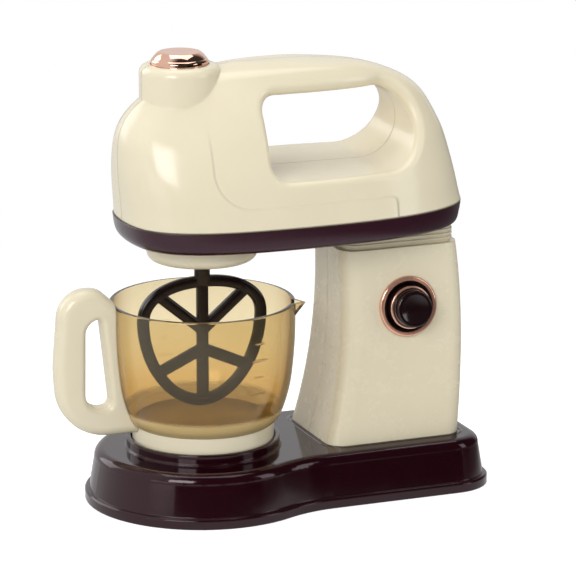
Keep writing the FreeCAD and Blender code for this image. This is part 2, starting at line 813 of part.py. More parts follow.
def bezel_ring():
    proud = size.bezel_proud
    inner = size.bezel_inner_radius
    outer = size.bezel_radius
    return on_column(turned_piece("bezel_ring", [
        (inner, -size.column_wall),
        (inner + 0.5, -size.column_wall),
        (inner + 0.5, 0.05),
        (outer, 0.05),
        (outer, proud * 0.4, proud * 0.6),
        (outer - proud * 0.6, proud),
        (outer - proud * 0.6 - 0.35, proud * 0.75),
        (outer - proud * 0.6 - 0.7, proud),
        (inner + 0.2, proud),
        (inner, proud - 0.2),
    ]))


def switch_cup():
    inner = size.bezel_inner_radius - 0.1
    bore = size.knob_base_radius - 2
    return on_column(turned_piece("switch_cup", [
        (bore, -7.5),
        (inner, -7.5),
        (inner, 0.6),
        (inner - 1, 0.6),
        (inner - 1, -6),
        (bore, -6),
    ]))


def start_button():
    proud = size.knob_proud
    face = size.knob_radius
    base = size.knob_base_radius - size.button_play
    trim = size.knob_trim_radius
    height = size.knob_trim_height
    stem = size.knob_base_radius - 2 - size.button_play
    return on_column(turned_piece("start_button", [
        (0, -size.knob_root),
        (stem, -size.knob_root),
        (stem, -2.8),
        (base - 0.4, -2.8),
        (base - 0.4, 0.6, size.knob_proud),
        (trim - 0.9, height),
        (trim - 0.9, height + 1.1),
        (face + 0.4, height + 1.1),
        (face + 0.2, proud - 0.8, 0.8),
        (face - 0.6, proud),
        (face - 1.6, proud, -28),
        (0, proud - size.knob_dish),
    ]))


def knob_trim_ring():
    trim = size.knob_trim_radius
    height = size.knob_trim_height
    return on_column(turned_piece("button_trim_ring", [
        (trim - 0.9, height),
        (trim - 0.2, height),
        (trim, height + 0.4, 0.6),
        (trim - 0.5, height + 1.1),
        (trim - 0.9, height + 1.1),
    ]))


def spring_coil(radius, wire, pitch, turns):
    """A compression spring as one unbroken wire, standing on its own origin."""
    helix = Part.makeHelix(pitch, pitch * turns, radius)
    ring = Part.Wire([Part.makeCircle(wire / 2, Vector(radius, 0, 0), Vector(0, 1, 0))])
    coil = Part.Wire(helix).makePipeShell([ring], True, True)
    return coil


def switch_depth():
    """How far behind the column's side the plate of the round button's switch sits."""
    return size.knob_root.value + size.spring_length.value


def button_springs():
    radius = size.spring_radius.value
    wire = size.spring_wire.value
    turns = 4
    pitch = (size.spring_length.value - wire) / turns
    seat = Placement(knob_face(), knob_turn()).multiply(
        Placement(Vector(0, 0, wire / 2 - switch_depth()), Rotation()))
    feature("button_spring", spring_coil(radius, wire, pitch, turns), seat.Rotation, seat.Base)
    low = size.boss_top.value - size.top_button_root.value - size.spring_length.value + wire / 2
    feature("top_button_spring", spring_coil(radius, wire, pitch, turns), Rotation(Vector(1, 0, 0), 180),
            Vector(-size.boss_centre.value, 0, low + pitch * turns))


def switch_block():
    """The push switch behind the round button, on posts from the column's far wall."""
    depth = switch_depth()
    block = Part.makeBox(14, 10, 8, Vector(-7, -5, -depth - 8))
    plate = Part.makeBox(30, 24, 1.6, Vector(-15, -12, -depth - 1.6))
    pieces = [plate]
    far = 2 * size.column_foot_half.value
    for x in (-13, 10):
        for y in (-10, 7):
            pieces.append(Part.makeBox(3, 3, far, Vector(x, y, -depth - far)))
    rack = block.fuse(pieces)
    rack.Placement = Placement(knob_face(), knob_turn())
    room = column_room(size.column_wall.value)
    return feature("switch_block", rack.common(room))


# Bowl: a clear cup on a cream foot, with a closed handle

CUP_FORM = "bowl_cup_form"


def bowl_wall_curve(inset):
    """The outer wall from the bottom corner to the rim, moved in by inset."""
    return [
        (size.bowl_foot_radius - inset, size.bowl_bottom + inset, size.bowl_foot_radius * 0.32),
        (size.bowl_low_radius - inset, size.bowl_low_height, size.bowl_rim_top * 0.75),
        (size.bowl_middle_radius - inset, size.bowl_middle_height, size.bowl_rim_top * 2.2),
    ]


def bowl_cup():
    """The cup without its spout: a form that the bowl is made from."""
    body = new_body(CUP_FORM)
    wall = size.bowl_wall
    profile = new_sketch(body, "bowl_profile", "XZ_Plane")
    outer = bowl_wall_curve(0)
    inner = bowl_wall_curve(wall)
    draw(profile, [
        (0, size.bowl_bottom),
        outer[0],
        outer[1],
        outer[2],
        (size.bowl_rim_radius, size.bowl_rim_top - 0.6, 0.6),
        (size.bowl_rim_radius - 0.6, size.bowl_rim_top),
        (size.bowl_rim_radius - wall, size.bowl_rim_top, -size.bowl_rim_top * 2.2),
        (inner[2][0], inner[2][1], -inner[1][2]),
        (inner[1][0], inner[1][1], -inner[0][2]),
        (inner[0][0], inner[0][1]),
        (0, size.bowl_bottom + wall),
    ])
    revolve(body, "cup", profile)
    return body


def spout_wedge(reach, half, depth, back):
    """A beak that narrows down the wall: a triangle at the rim run to a point below."""
    top = size.bowl_rim_top.value
    root_x = size.bowl_rim_radius.value - back
    rim = [Vector(root_x, -half, top), Vector(reach, 0, top), Vector(root_x, half, top)]
    tip = Vector(root_x, 0, top - depth)
    faces = [
        Part.Face(Part.makePolygon([rim[0], rim[1], rim[2], rim[0]])),
        Part.Face(Part.makePolygon([rim[0], tip, rim[1], rim[0]])),
        Part.Face(Part.makePolygon([rim[1], tip, rim[2], rim[1]])),
        Part.Face(Part.makePolygon([rim[2], tip, rim[0], rim[2]])),
    ]
    solid = Part.Solid(Part.Shell(faces))
    if solid.Volume < 0:
        solid.reverse()
    return solid


def bowl_with_spout(cup):
    """The cup with its pouring spout opened through the rim."""
    wall = size.bowl_wall.value
    turn = Rotation(Vector(0, 0, 1), size.spout_turn.value)
    outer = spout_wedge(size.spout_reach.value, size.spout_half_width.value, size.spout_depth.value, 1.4)
    inner = spout_wedge(size.spout_reach.value - wall * 1.2, size.spout_half_width.value - wall * 0.7,
                        size.spout_depth.value - wall, 2.6)
    outer.Placement = Placement(Vector(), turn)
    inner.Placement = Placement(Vector(0, 0, 0.01), turn)
    doc.recompute()
    shape = cup.Shape.fuse(outer).cut(inner).removeSplitter()
    return shape


def bowl_foot():
    """Cream foot that drops into the base's recess and carries the clear cup."""
    outer = size.bowl_foot_radius
    return turned_piece("bowl_foot", [
        (0, size.bowl_bottom - 2),
        (outer - size.foot_ring_wall, size.bowl_bottom - 2),
        (outer - size.foot_ring_wall, size.foot_bottom),
        (outer - 0.6, size.foot_bottom),
        (outer, size.foot_bottom + 0.6),
        (outer, size.bowl_bottom),
        (0, size.bowl_bottom),
    ])


def bowl_handle():
    """Closed loop grip, shaped on its inner side to the bowl's wall."""
    reach = size.handle_reach.value
    grip = size.handle_grip.value
    top = size.handle_top.value
    bottom = size.handle_bottom.value
    bar = size.handle_bar.value
    width = size.handle_width.value
    wall_x = size.bowl_middle_radius.value
    rim_x = size.bowl_rim_radius.value
    post = size.handle_post.value
    foot = size.bowl_foot_radius.value
    loop = rounded_loop([
        (foot - 2, bottom, 0), (reach - 2.2, bottom, 24), (reach, (top + bottom) / 2 - 2, 60),
        (reach - 3.2, top + 0.6, 14), (reach - 21.4, top - 0.2, 10), (foot - 2, top - 17.6, 0)])
    inside = reach - grip
    gap = rounded_loop([
        (wall_x + post - 2.8, bottom + bar + 0.6, 3.6), (inside, bottom + bar + 0.6, 7.5),
        (inside - 0.6, top - bar - 4.2, 7), (rim_x + post + 0.6, top - bar - 0.2, 2.4)])
    solid = Part.Face(loop).extrude(Vector(0, width, 0))
    outer = [edge for edge in solid.Edges if edge.BoundBox.YLength < 0.01 and edge.BoundBox.XMax > rim_x]
    solid = solid.makeFillet(size.handle_rounding.value, outer)
    window = Part.Face(gap).extrude(Vector(0, width * 3, 0))
    window.translate(Vector(0, -width, 0))
    solid = solid.cut(window)
    inner = [edge for edge in solid.Edges if edge.BoundBox.YLength < 0.01
             and edge.BoundBox.XMin > wall_x + 2 and edge.BoundBox.XMax < inside + 0.1
             and edge.BoundBox.ZMin > bottom + bar - 1 and edge.BoundBox.ZMax < top - bar + 1]
    solid = solid.makeFillet(size.handle_post.value * 0.45, inner)
    solid.translate(Vector(0, -width / 2, 0))
    solid.rotate(Vector(), Vector(0, 0, 1), size.handle_turn.value)
    return solid


def bowl_clearance(gap):
    """The space that the cup and its foot take, grown by a gap."""
    curve = []
    for corner in bowl_wall_curve(Size(-gap, f"{-gap:.6f}")):
        curve.append((corner[0].value, corner[1].value + gap, corner[2].value))
    curve.append((size.bowl_rim_radius.value + gap, size.bowl_rim_top.value - 0.6, 0))
    low = Vector(curve[0][0], 0, 0)
    edges = [Part.makeLine(Vector(), low), Part.makeLine(low, Vector(curve[0][0], 0, curve[0][1]))]
    for start, end in zip(curve, curve[1:]):
        arc = arc_through(Vector(start[0], start[1], 0), Vector(end[0], end[1], 0), start[2])
        middle = arc.value((arc.FirstParameter + arc.LastParameter) / 2)
        edges.append(Part.Arc(Vector(start[0], 0, start[1]), Vector(middle.x, 0, middle.y),
                              Vector(end[0], 0, end[1])).toShape())
    top = Vector(curve[-1][0], 0, curve[-1][1])
    high = Vector(top.x, 0, size.bowl_rim_top.value + 20)
    axis = Vector(0, 0, high.z)
    edges += [Part.makeLine(top, high), Part.makeLine(high, axis), Part.makeLine(axis, Vector())]
    return Part.Face(Part.Wire(edges)).revolve(Vector(), Vector(0, 0, 1), 360)


# Head: two cream shells over a dark band and floor

SECTION_POINTS = 28


def power_curve(value, power):
    return math.copysign(abs(value) ** (2 / power), value)


def head_section(height, front, rear, half, front_power, rear_power):
    """A closed egg outline at a height: two part ellipses that meet at the widest place."""
    middle = size.head_middle.value
    if rear < middle + 12:
        middle = (front + rear) / 2
    points = []
    for index in range(SECTION_POINTS):
        angle = 2 * math.pi * (index + 0.5) / SECTION_POINTS
        along = math.cos(angle)
        power = rear_power if along > 0 else front_power
        reach = rear - middle if along > 0 else middle - front
        x = middle + reach * power_curve(along, power)
        y = half * power_curve(math.sin(angle), power)
        points.append(Vector(x, y, height))
    curve = Part.BSplineCurve()
    curve.interpolate(points, True)
    return Part.Wire(curve.toShape())


HEAD_LEVELS = [
    # share of the height, then how far the nose, the rear and the sides have drawn in, then the
    # powers of the front and rear curves
    (0.00, 0.6, 0.0, 0.0, 3.0, 2.5),
    (0.13, 0.0, 2.3, 1.4, 3.0, 2.5),
    (0.27, -0.8, 4.7, 3.4, 3.0, 2.5),
    (0.41, -1.2, 7.4, 6.4, 2.9, 2.5),
    (0.55, -0.6, 11.2, 10.2, 2.7, 2.5),
    (0.69, 3.6, 16.4, 15.4, 2.5, 2.4),
    (0.79, 10.5, 22.6, 20.2, 2.4, 2.4),
    (0.87, 19.5, 32.0, 24.2, 2.3, 2.3),
    (0.93, 29.5, 43.5, 26.8, 2.3, 2.3),
    (0.97, 40.0, 58.0, 30.2, 2.2, 2.2),
    (0.99, 49.0, 71.0, 34.0, 2.1, 2.1),
    (1.00, 56.0, 82.0, 38.0, 2.0, 2.0),
]


def head_loft(inset):
    """The head above the band, moved in by inset on all sides."""
    low = size.band_top.value
    rise = size.head_top.value - inset - low
    wires = []
    for share, front_in, rear_in, half_in, front_power, rear_power in HEAD_LEVELS:
        front = -size.head_front.value + front_in + inset
        rear = size.head_rear.value - rear_in - inset
        half = max(size.head_half.value - half_in - inset, 1.0)
        wires.append(head_section(low + rise * share, front, rear, half, front_power, rear_power))
    return Part.makeLoft(wires, True, False)


def grip_hole(grow, depth):
    """The finger hole as a prism across the head: square-ended in front, half round behind."""
    front = size.grip_hole_front.value - grow
    low = size.grip_hole_bottom.value - grow
    high = size.grip_hole_top.value + grow
    small = size.grip_hole_front_corner.value + grow
    large = (high - low) / 2
    rear = size.grip_hole_rear.value + grow
    bend = small * (1 - math.sqrt(0.5))
    middle = (low + high) / 2
    edges = [
        Part.makeLine(Vector(front + small, 0, low), Vector(rear - large, 0, low)),
        Part.Arc(Vector(rear - large, 0, low), Vector(rear, 0, middle),
                 Vector(rear - large, 0, high)).toShape(),
        Part.makeLine(Vector(rear - large, 0, high), Vector(front + small, 0, high)),
        Part.Arc(Vector(front + small, 0, high), Vector(front + bend, 0, high - bend),
                 Vector(front, 0, high - small)).toShape(),
        Part.makeLine(Vector(front, 0, high - small), Vector(front, 0, low + small)),
        Part.Arc(Vector(front, 0, low + small), Vector(front + bend, 0, low + bend),
                 Vector(front + small, 0, low)).toShape(),
    ]
    prism = Part.Face(Part.Wire(edges)).extrude(Vector(0, depth * 2, 0))
    prism.translate(Vector(0, -depth, 0))
    return prism


def near_half_space():
    """A block that holds everything on the near side of the middle plane."""
    reach = size.head_rear.value + size.head_front.value + 40
    half = size.head_half.value + 20
    return Part.makeBox(reach, half, size.head_top.value, Vector(-size.head_front.value - 20, -half, 100))


def head_near_form():
    """Near half of the head's outer form: body with the rolled finger hole, and the turret."""
    form = head_loft(0).common(near_half_space()).cut(grip_hole(0, size.head_half.value + 10))
    low = size.grip_hole_bottom.value - 1
    high = size.grip_hole_top.value + 1
    front = size.grip_hole_front.value - 1
    rear = size.grip_hole_rear.value + 1
    rims = []
    for edge in form.Edges:
        box = edge.BoundBox
        if box.XMin > front and box.XMax < rear and box.ZMin > low and box.ZMax < high and box.YMax < -3:
            rims.append(edge)
    form = form.makeFillet(size.grip_hole_roll.value, rims)
    turret_foot = size.band_top.value + 30
    turret = Part.makeCylinder(size.boss_radius.value, size.boss_top.value - turret_foot,
                               Vector(-size.boss_centre.value, 0, turret_foot))
    top = size.boss_top.value
    edges = [edge for edge in turret.Edges if at_height(edge, top)]
    turret = turret.makeFillet(size.boss_rounding.value, edges)
    return form.fuse(turret.common(near_half_space()))


def head_inside():
    """The hollow of the two shells."""
    wall = size.head_wall.value
    depth = size.head_half.value + 10
    hollow = head_loft(wall).cut(grip_hole(wall + size.grip_hole_roll.value * 0.7, depth))
    well = size.boss_radius.value - wall
    foot = size.band_top.value + 32
    bore = Part.makeCylinder(well, size.boss_top.value - wall - foot,
                             Vector(-size.boss_centre.value, 0, foot))
    return hollow.fuse(bore)


def head_shells():
    radius = size.top_button_radius.value + size.button_play.value
    well = Part.makeCylinder(radius, 20, Vector(-size.boss_centre.value, 0, size.boss_top.value - 10))
    near = head_near_form().cut(head_inside()).cut(well)
    near = sorted(near.Solids, key=lambda item: -item.Volume)[0]
    feature("head_near_shell", near)
    feature("head_far_shell", near.mirror(Vector(), Vector(0, 1, 0)))


def band_loft(inset, low, high):
    """The band's form: upright at the top, drawn in under the edge."""
    rows = [(high, 0.0, 0.0), (high - (high - low) * 0.55, 0.9, 0.5), (high - (high - low) * 0.85, 2.6, 1.6),
            (low, 5.4, 3.4)]
    wires = []
    for height, front_in, side_in in rows:
        front = -size.head_front.value + front_in + inset
        rear = size.head_rear.value - side_in - inset
        half = size.head_half.value - side_in - inset
        wires.append(head_section(height, front, rear, half, 3.0, 2.5))
    return Part.makeLoft(wires, True, False)


def hinge_lug(near):
    """An arm from the head's floor back to the hinge pin, with its near face at y = near."""
    floor = size.band_top.value - size.band_height.value
    radius = size.ear_radius.value
    thick = size.lug_thick.value
    reach = size.hinge_reach.value
    height = size.hinge_height.value
    seat = size.neck_opening_front.value
    root_x = seat - 7
    side = []
    for x, z in ((root_x, floor), (seat, floor), (reach, height - radius), (reach, height + radius),
                 (root_x, floor + 7), (root_x, floor)):
        side.append(Vector(x, near, z))
    arm = Part.Face(Part.makePolygon(side)).extrude(Vector(0, thick, 0))
    disc = Part.makeCylinder(radius, thick, Vector(reach, near, height), Vector(0, 1, 0))
    bore = Part.makeCylinder(size.pin_radius.value + size.pin_play.value, thick + 2,
                             Vector(reach, near - 1, height), Vector(0, 1, 0))
    return arm.fuse(disc).cut(bore)


def trim_band():
    """Dark band and floor of the head in two halves, each with a hinge lug."""
    high = size.band_top.value
    low = high - size.band_height.value
    solid = band_loft(0, low, high)
    hollow = band_loft(size.head_wall.value, low + size.band_floor.value, high)
    gear_hole = Part.makeCylinder(size.gearbox_radius.value - size.gearbox_wall.value - 2, 30,
                                  Vector(0, 0, low - 5))
    opening = size.neck_opening_half.value
    front = size.neck_opening_front.value
    neck_hole = Part.makeBox(size.head_rear.value - size.head_wall.value - front, opening * 2, 12,
                             Vector(front, -opening, low - 3))
    solid = solid.cut(hollow).cut(gear_hole).cut(neck_hole)
    solid = solid.fuse([hinge_lug(-size.lug_inner.value - size.lug_thick.value),
                        hinge_lug(size.lug_inner.value)])
    reach = size.head_rear.value + size.head_front.value + 40
    half = size.head_half.value + 20
    for label, low_y in (("trim_band_near", -half), ("trim_band_far", 0)):
        half_space = Part.makeBox(reach, half, 60, Vector(-size.head_front.value - 20, low_y, 100))
        piece = solid.common(half_space)
        solids = sorted(piece.Solids, key=lambda item: -item.Volume)
        feature(label, solids[0])


# Drive: motor, pinion, wheel and spindle inside the head

def gearbox_cup():
    outer = size.gearbox_radius
    low = size.gearbox_bottom
    high = size.band_top - size.band_height
    wall = size.gearbox_wall
    round_off = size.gearbox_rounding
    bore = size.spindle_radius + size.spindle_play
    return turned_piece("gearbox_cup", [
        (bore, low),
        (outer - round_off, low, round_off),
        (outer, low + round_off),
        (outer, high),
        (outer - wall - 2.4, high),
        (outer - wall - 2.4, high + size.band_floor),
        (outer - wall - 3.4, high + size.band_floor),
        (outer - wall - 3.4, high - 1),
        (outer - wall, high - 1),
        (outer - wall, low + round_off, -(round_off - wall)),
        (outer - round_off, low + wall),
        (size.bush_radius, low + wall),
        (size.bush_radius, size.gear_lift - 0.2),
        (bore, size.gear_lift - 0.2),
    ])


def gear_outline(teeth, module):
    """A toothed wheel with straight-flanked teeth, as one closed wire."""
    pitch = teeth * module / 2
    tip = pitch + module * 0.85
    foot = pitch - module * 1.2
    points = []
    for index in range(teeth):
        centre = 2 * math.pi * index / teeth
        step = 2 * math.pi / teeth
        for radius, share in ((foot, -0.33), (pitch, -0.215), (tip, -0.10), (tip, 0.10), (pitch, 0.215),
                              (foot, 0.33)):
            angle = centre + step * share
            points.append(Vector(radius * math.cos(angle), radius * math.sin(angle), 0))
    points.append(points[0])
    return Part.Face(Part.makePolygon(points))


def drive_gear():
    module = size.gear_module.value
    teeth = int(size.wheel_teeth.value)
    disc = gear_outline(teeth, module).extrude(Vector(0, 0, size.gear_thick.value))
    hub = Part.makeCylinder(size.spindle_radius.value + 2.5, size.gear_thick.value + 2)
    recess = Part.makeCylinder(teeth * module / 2 - 2.4, 1)
    core = Part.makeCylinder(size.spindle_radius.value + 2.5, 1)
    bore = Part.makeCylinder(size.spindle_radius.value, 20, Vector(0, 0, -5))
    ring = recess.cut(core)
    ring.translate(Vector(0, 0, size.gear_thick.value - 1))
    wheel = disc.cut(ring).fuse(hub).cut(bore)
    return feature("drive_gear", wheel, None, Vector(0, 0, size.gear_lift.value))


def motor_reach():
    """The motor's axis: ahead of the paddle's by the distance between the two gears."""
    return -(size.pinion_teeth.value + size.wheel_teeth.value) * size.gear_module.value / 2


def motor_face():
    """The underside of the motor's can above the floor."""
    return size.gear_lift.value + size.gear_thick.value + size.motor_clearance.value


def motor_pinion():
    module = size.gear_module.value
    teeth = int(size.pinion_teeth.value)
    disc = gear_outline(teeth, module).extrude(Vector(0, 0, size.gear_thick.value + 1.5))
    turn = Rotation(Vector(0, 0, 1), 180.0 / teeth)
    low = size.gear_lift.value - 0.4
    shaft = Part.makeCylinder(size.motor_shaft_radius.value, motor_face() + 4 - low)
    return feature("motor_pinion", disc.fuse(shaft), turn, Vector(motor_reach(), 0, low))


def motor():
    """Small can motor that stands on its bracket over the wheel."""
    radius = size.motor_radius.value
    length = size.motor_length.value
    can = Part.makeCylinder(radius, length)
    flat = radius * 0.76
    can = can.common(Part.makeBox(radius * 2, flat * 2, length, Vector(-radius, -flat, 0)))
    nose = Part.makeCylinder(3, 1.2, Vector(0, 0, -1.2))
    bore = Part.makeCylinder(size.motor_shaft_radius.value + 0.05, 8, Vector(0, 0, -2))
    tail = Part.makeCylinder(3.4, 1.4, Vector(0, 0, length))
    return feature("motor", can.fuse(nose).fuse(tail).cut(bore), None, Vector(motor_reach(), 0, motor_face()))


def motor_bracket():
    """Bridge on the head's floor that carries the motor and steadies the spindle's upper end."""
    low = size.band_top.value - size.band_height.value + size.band_floor.value
    top = motor_face()
    thick = size.bracket_thick.value
    half = size.bracket_half.value
    front = -size.bracket_front.value
    span = size.bracket_span.value
    foot = size.bracket_foot.value
    plate = Part.makeBox(size.bracket_rear.value - front, half * 2, thick, Vector(front, -half, top - thick))
    wings = Part.makeBox(half, span * 2, thick, Vector(-half / 2, -span, top - thick))
    legs = [Part.makeBox(foot, half, top - low, Vector(front, -half / 2, low))]
    for y in (-span, span - foot):
        legs.append(Part.makeBox(half, foot, top - low, Vector(-half / 2, y, low)))
    nose = Part.makeCylinder(3.02, thick * 3, Vector(motor_reach(), 0, top - thick * 2))
    spindle_hole = Part.makeCylinder(size.spindle_radius.value + size.spindle_play.value, thick * 3,
                                     Vector(0, 0, top - thick * 2))
    return feature("motor_bracket", plate.fuse([wings] + legs).cut(nose).cut(spindle_hole))


def spindle():
    low = size.gearbox_bottom.value - 0.4
    top = size.gear_lift + size.gear_thick + size.motor_clearance + 0.6
    return turned_piece("spindle", [
        (0, low + 2),
        (1.6, low + 2),
        (1.6, low),
        (size.spindle_radius, low),
        (size.spindle_radius, top),
        (0, top),
    ])


# Paddle

def paddle_rim(inset):
    """Half outline of the rim, moved in by inset, as one closed curve."""
    top = size.paddle_top.value - inset
    low = size.paddle_bottom.value + inset
    half = size.paddle_half.value - inset
    wide = size.paddle_wide_height.value
    rise = top - wide
    fall = wide - low
    points = []
    count = 36
    for index in range(count):
        angle = 2 * math.pi * index / count
        across = math.cos(angle)
        up = math.sin(angle)
        if up >= 0:
            x = half * power_curve(across, 2.25)
            z = wide + rise * power_curve(up, 2.25)
        else:
            x = half * power_curve(across, 1.92)
            z = wide + fall * power_curve(up, 1.92)
        points.append(Vector(x, 0, z))
    curve = Part.BSplineCurve()
    curve.interpolate(points, True)
    return Part.Face(Part.Wire(curve.toShape()))


def paddle_spoke(height, angle, side):
    width = size.paddle_bar.value
    thick = size.paddle_thick.value
    spoke = Part.makeBox(size.paddle_half.value, thick, width, Vector(0, -thick / 2, -width / 2))
    spoke.rotate(Vector(), Vector(0, 1, 0), -angle if side > 0 else angle - 180)
    spoke.translate(Vector(0, 0, height))
    return spoke


def paddle():
    """Flat open paddle on a round shaft that plugs into the spindle."""
    thick = size.paddle_thick.value
    bar = size.paddle_bar.value
    disc = paddle_rim(0).extrude(Vector(0, thick, 0))
    disc.translate(Vector(0, -thick / 2, 0))
    window = paddle_rim(bar).extrude(Vector(0, thick * 2, 0))
    window.translate(Vector(0, -thick, 0))
    rim = disc.cut(window)
    tall = size.paddle_top.value - size.paddle_bottom.value - 2
    post = Part.makeBox(bar, thick, tall, Vector(-bar / 2, -thick / 2, size.paddle_bottom.value + 1))
    pieces = [post]
    for side in (-1, 1):
        for height, angle in ((size.upper_spoke_height.value, size.upper_spoke_angle.value),
                              (size.lower_spoke_height.value, -size.lower_spoke_angle.value)):
            pieces.append(paddle_spoke(height, angle, side).common(disc))
    frame = rim.fuse(pieces).removeSplitter()
    shaft_foot = size.paddle_top.value - bar
    shaft_top = size.gearbox_bottom.value - 0.7
    shaft = Part.makeCylinder(size.shaft_radius.value, shaft_top - shaft_foot, Vector(0, 0, shaft_foot))
    peg = Part.makeCylinder(1.5, 2.2, Vector(0, 0, shaft_top))
    return feature("paddle", frame.fuse(shaft).fuse(peg))


# Top button

def top_button():
    radius = size.top_button_radius
    face = size.top_button_face
    proud = size.top_button_proud
    body = turned_piece("top_button", [
        (0, -size.top_button_root),
        (radius - 1.5, -size.top_button_root),
        (radius - 1.5, -3.5),
        (radius, -3.5),
        (radius, 1.4, 2.4),
        (radius - 0.9, 2.6, 9),
        (face, proud - 0.15),
        (face - 0.5, proud),
        (0, proud),
    ])
    place(body, -size.boss_centre, 0, size.boss_top)
    return body


def top_button_guide():
    """Cup inside the turret that guides the top button and seats its spring."""
    low = size.boss_top.value - size.top_button_root.value - size.spring_length.value
    inner = size.top_button_radius.value + size.button_play.value
    outer = size.boss_radius.value - size.head_wall.value
    cup = Part.makeCylinder(outer - 0.02, size.boss_top.value - size.head_wall.value - low + 2,
                            Vector(0, 0, low - 2))
    bore = Part.makeCylinder(inner, 30, Vector(0, 0, low))
    return feature("top_button_guide", cup.cut(bore), None, Vector(-size.boss_centre.value, 0, 0))


def build():
    base_shell()
    base_cover()
    battery_door()
    battery_box()
    battery_cells()
    screw_group("base_screws", SCREW_SPOTS, size.screw_sink.value, size.screw_length.value,
                size.screw_radius.value, size.screw_head_radius.value, 0.7)
    deck_low = size.base_height.value - size.base_wall.value
    screw_group("column_screws", COLUMN_SCREWS, deck_low, size.screw_length.value - 1,
                size.screw_radius.value, size.screw_head_radius.value, 1.4)
    column_shell("column_near_shell", -1)
    column_shell("column_far_shell", 1)
    neck_collar()
    hinge_pin()
    bezel_ring()
    switch_cup()
    start_button()
    knob_trim_ring()
    button_springs()
    switch_block()
    cup = bowl_cup()
    bowl_foot()
    feature("bowl", bowl_with_spout(cup))
    feature("bowl_handle", bowl_handle().cut(bowl_clearance(0.05)))
    head_shells()
    trim_band()
    gearbox_cup()
    drive_gear()
    motor_pinion()
    motor()
    motor_bracket()
    spindle()
    paddle()
    top_button()
    top_button_guide()


def sub_parts():
    kinds = ("PartDesign::Body", "Part::Feature", "Part::Cylinder")
    items = []
    for item in doc.Objects:
        if item.TypeId in kinds and item.getParentGeoFeatureGroup() is None and item.Label != CUP_FORM:
            items.append(item)
    return items


def check_and_write():
    doc.recompute()
    for item in doc.Objects:
        if "Invalid" in item.State or "Error" in item.State:
            raise RuntimeError(f"{item.Name} ({item.Label}) failed: {item.State}")
    os.makedirs("parts", exist_ok=True)
    for item in sub_parts():
        shape = item.Shape
        if shape.isNull() or not shape.isValid():
            raise RuntimeError(f"{item.Label} has no valid shape")
        shape.exportStep(f"parts/{item.Label}.step")
        box = shape.BoundBox
        print(f"{item.Label}: {len(shape.Solids)} solids, {shape.Volume:.0f} mm3, "
              f"x {box.XMin:.1f}..{box.XMax:.1f}, y {box.YMin:.1f}..{box.YMax:.1f}, "
              f"z {box.ZMin:.1f}..{box.ZMax:.1f}")


build()
check_and_write()
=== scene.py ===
import json
import math

import bmesh
import bpy
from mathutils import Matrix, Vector


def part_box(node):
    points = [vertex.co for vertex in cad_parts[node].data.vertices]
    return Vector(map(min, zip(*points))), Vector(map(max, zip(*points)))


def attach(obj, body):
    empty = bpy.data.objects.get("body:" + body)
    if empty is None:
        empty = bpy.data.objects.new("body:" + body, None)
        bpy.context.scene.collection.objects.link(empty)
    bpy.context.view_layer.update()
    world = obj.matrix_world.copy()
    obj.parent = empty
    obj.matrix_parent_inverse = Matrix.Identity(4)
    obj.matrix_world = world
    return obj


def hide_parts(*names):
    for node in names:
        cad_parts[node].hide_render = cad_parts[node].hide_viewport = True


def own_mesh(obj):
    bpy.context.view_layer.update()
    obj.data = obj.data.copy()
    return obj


# Toy stand mixer, dressed for its picture. Everything is in metres, in the frame of the solids:
# the origin on the floor under the bowl, X towards the column, Y away from the round button, Z up.

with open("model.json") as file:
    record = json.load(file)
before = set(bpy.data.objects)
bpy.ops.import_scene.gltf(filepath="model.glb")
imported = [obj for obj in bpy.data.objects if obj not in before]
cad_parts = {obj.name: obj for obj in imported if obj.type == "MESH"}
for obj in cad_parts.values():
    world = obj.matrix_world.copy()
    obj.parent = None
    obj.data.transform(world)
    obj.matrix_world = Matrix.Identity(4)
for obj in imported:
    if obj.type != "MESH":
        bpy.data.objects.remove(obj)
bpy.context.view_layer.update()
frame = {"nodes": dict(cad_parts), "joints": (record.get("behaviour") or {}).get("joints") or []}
nodes = frame["nodes"]

MM = 0.001


# Node helpers

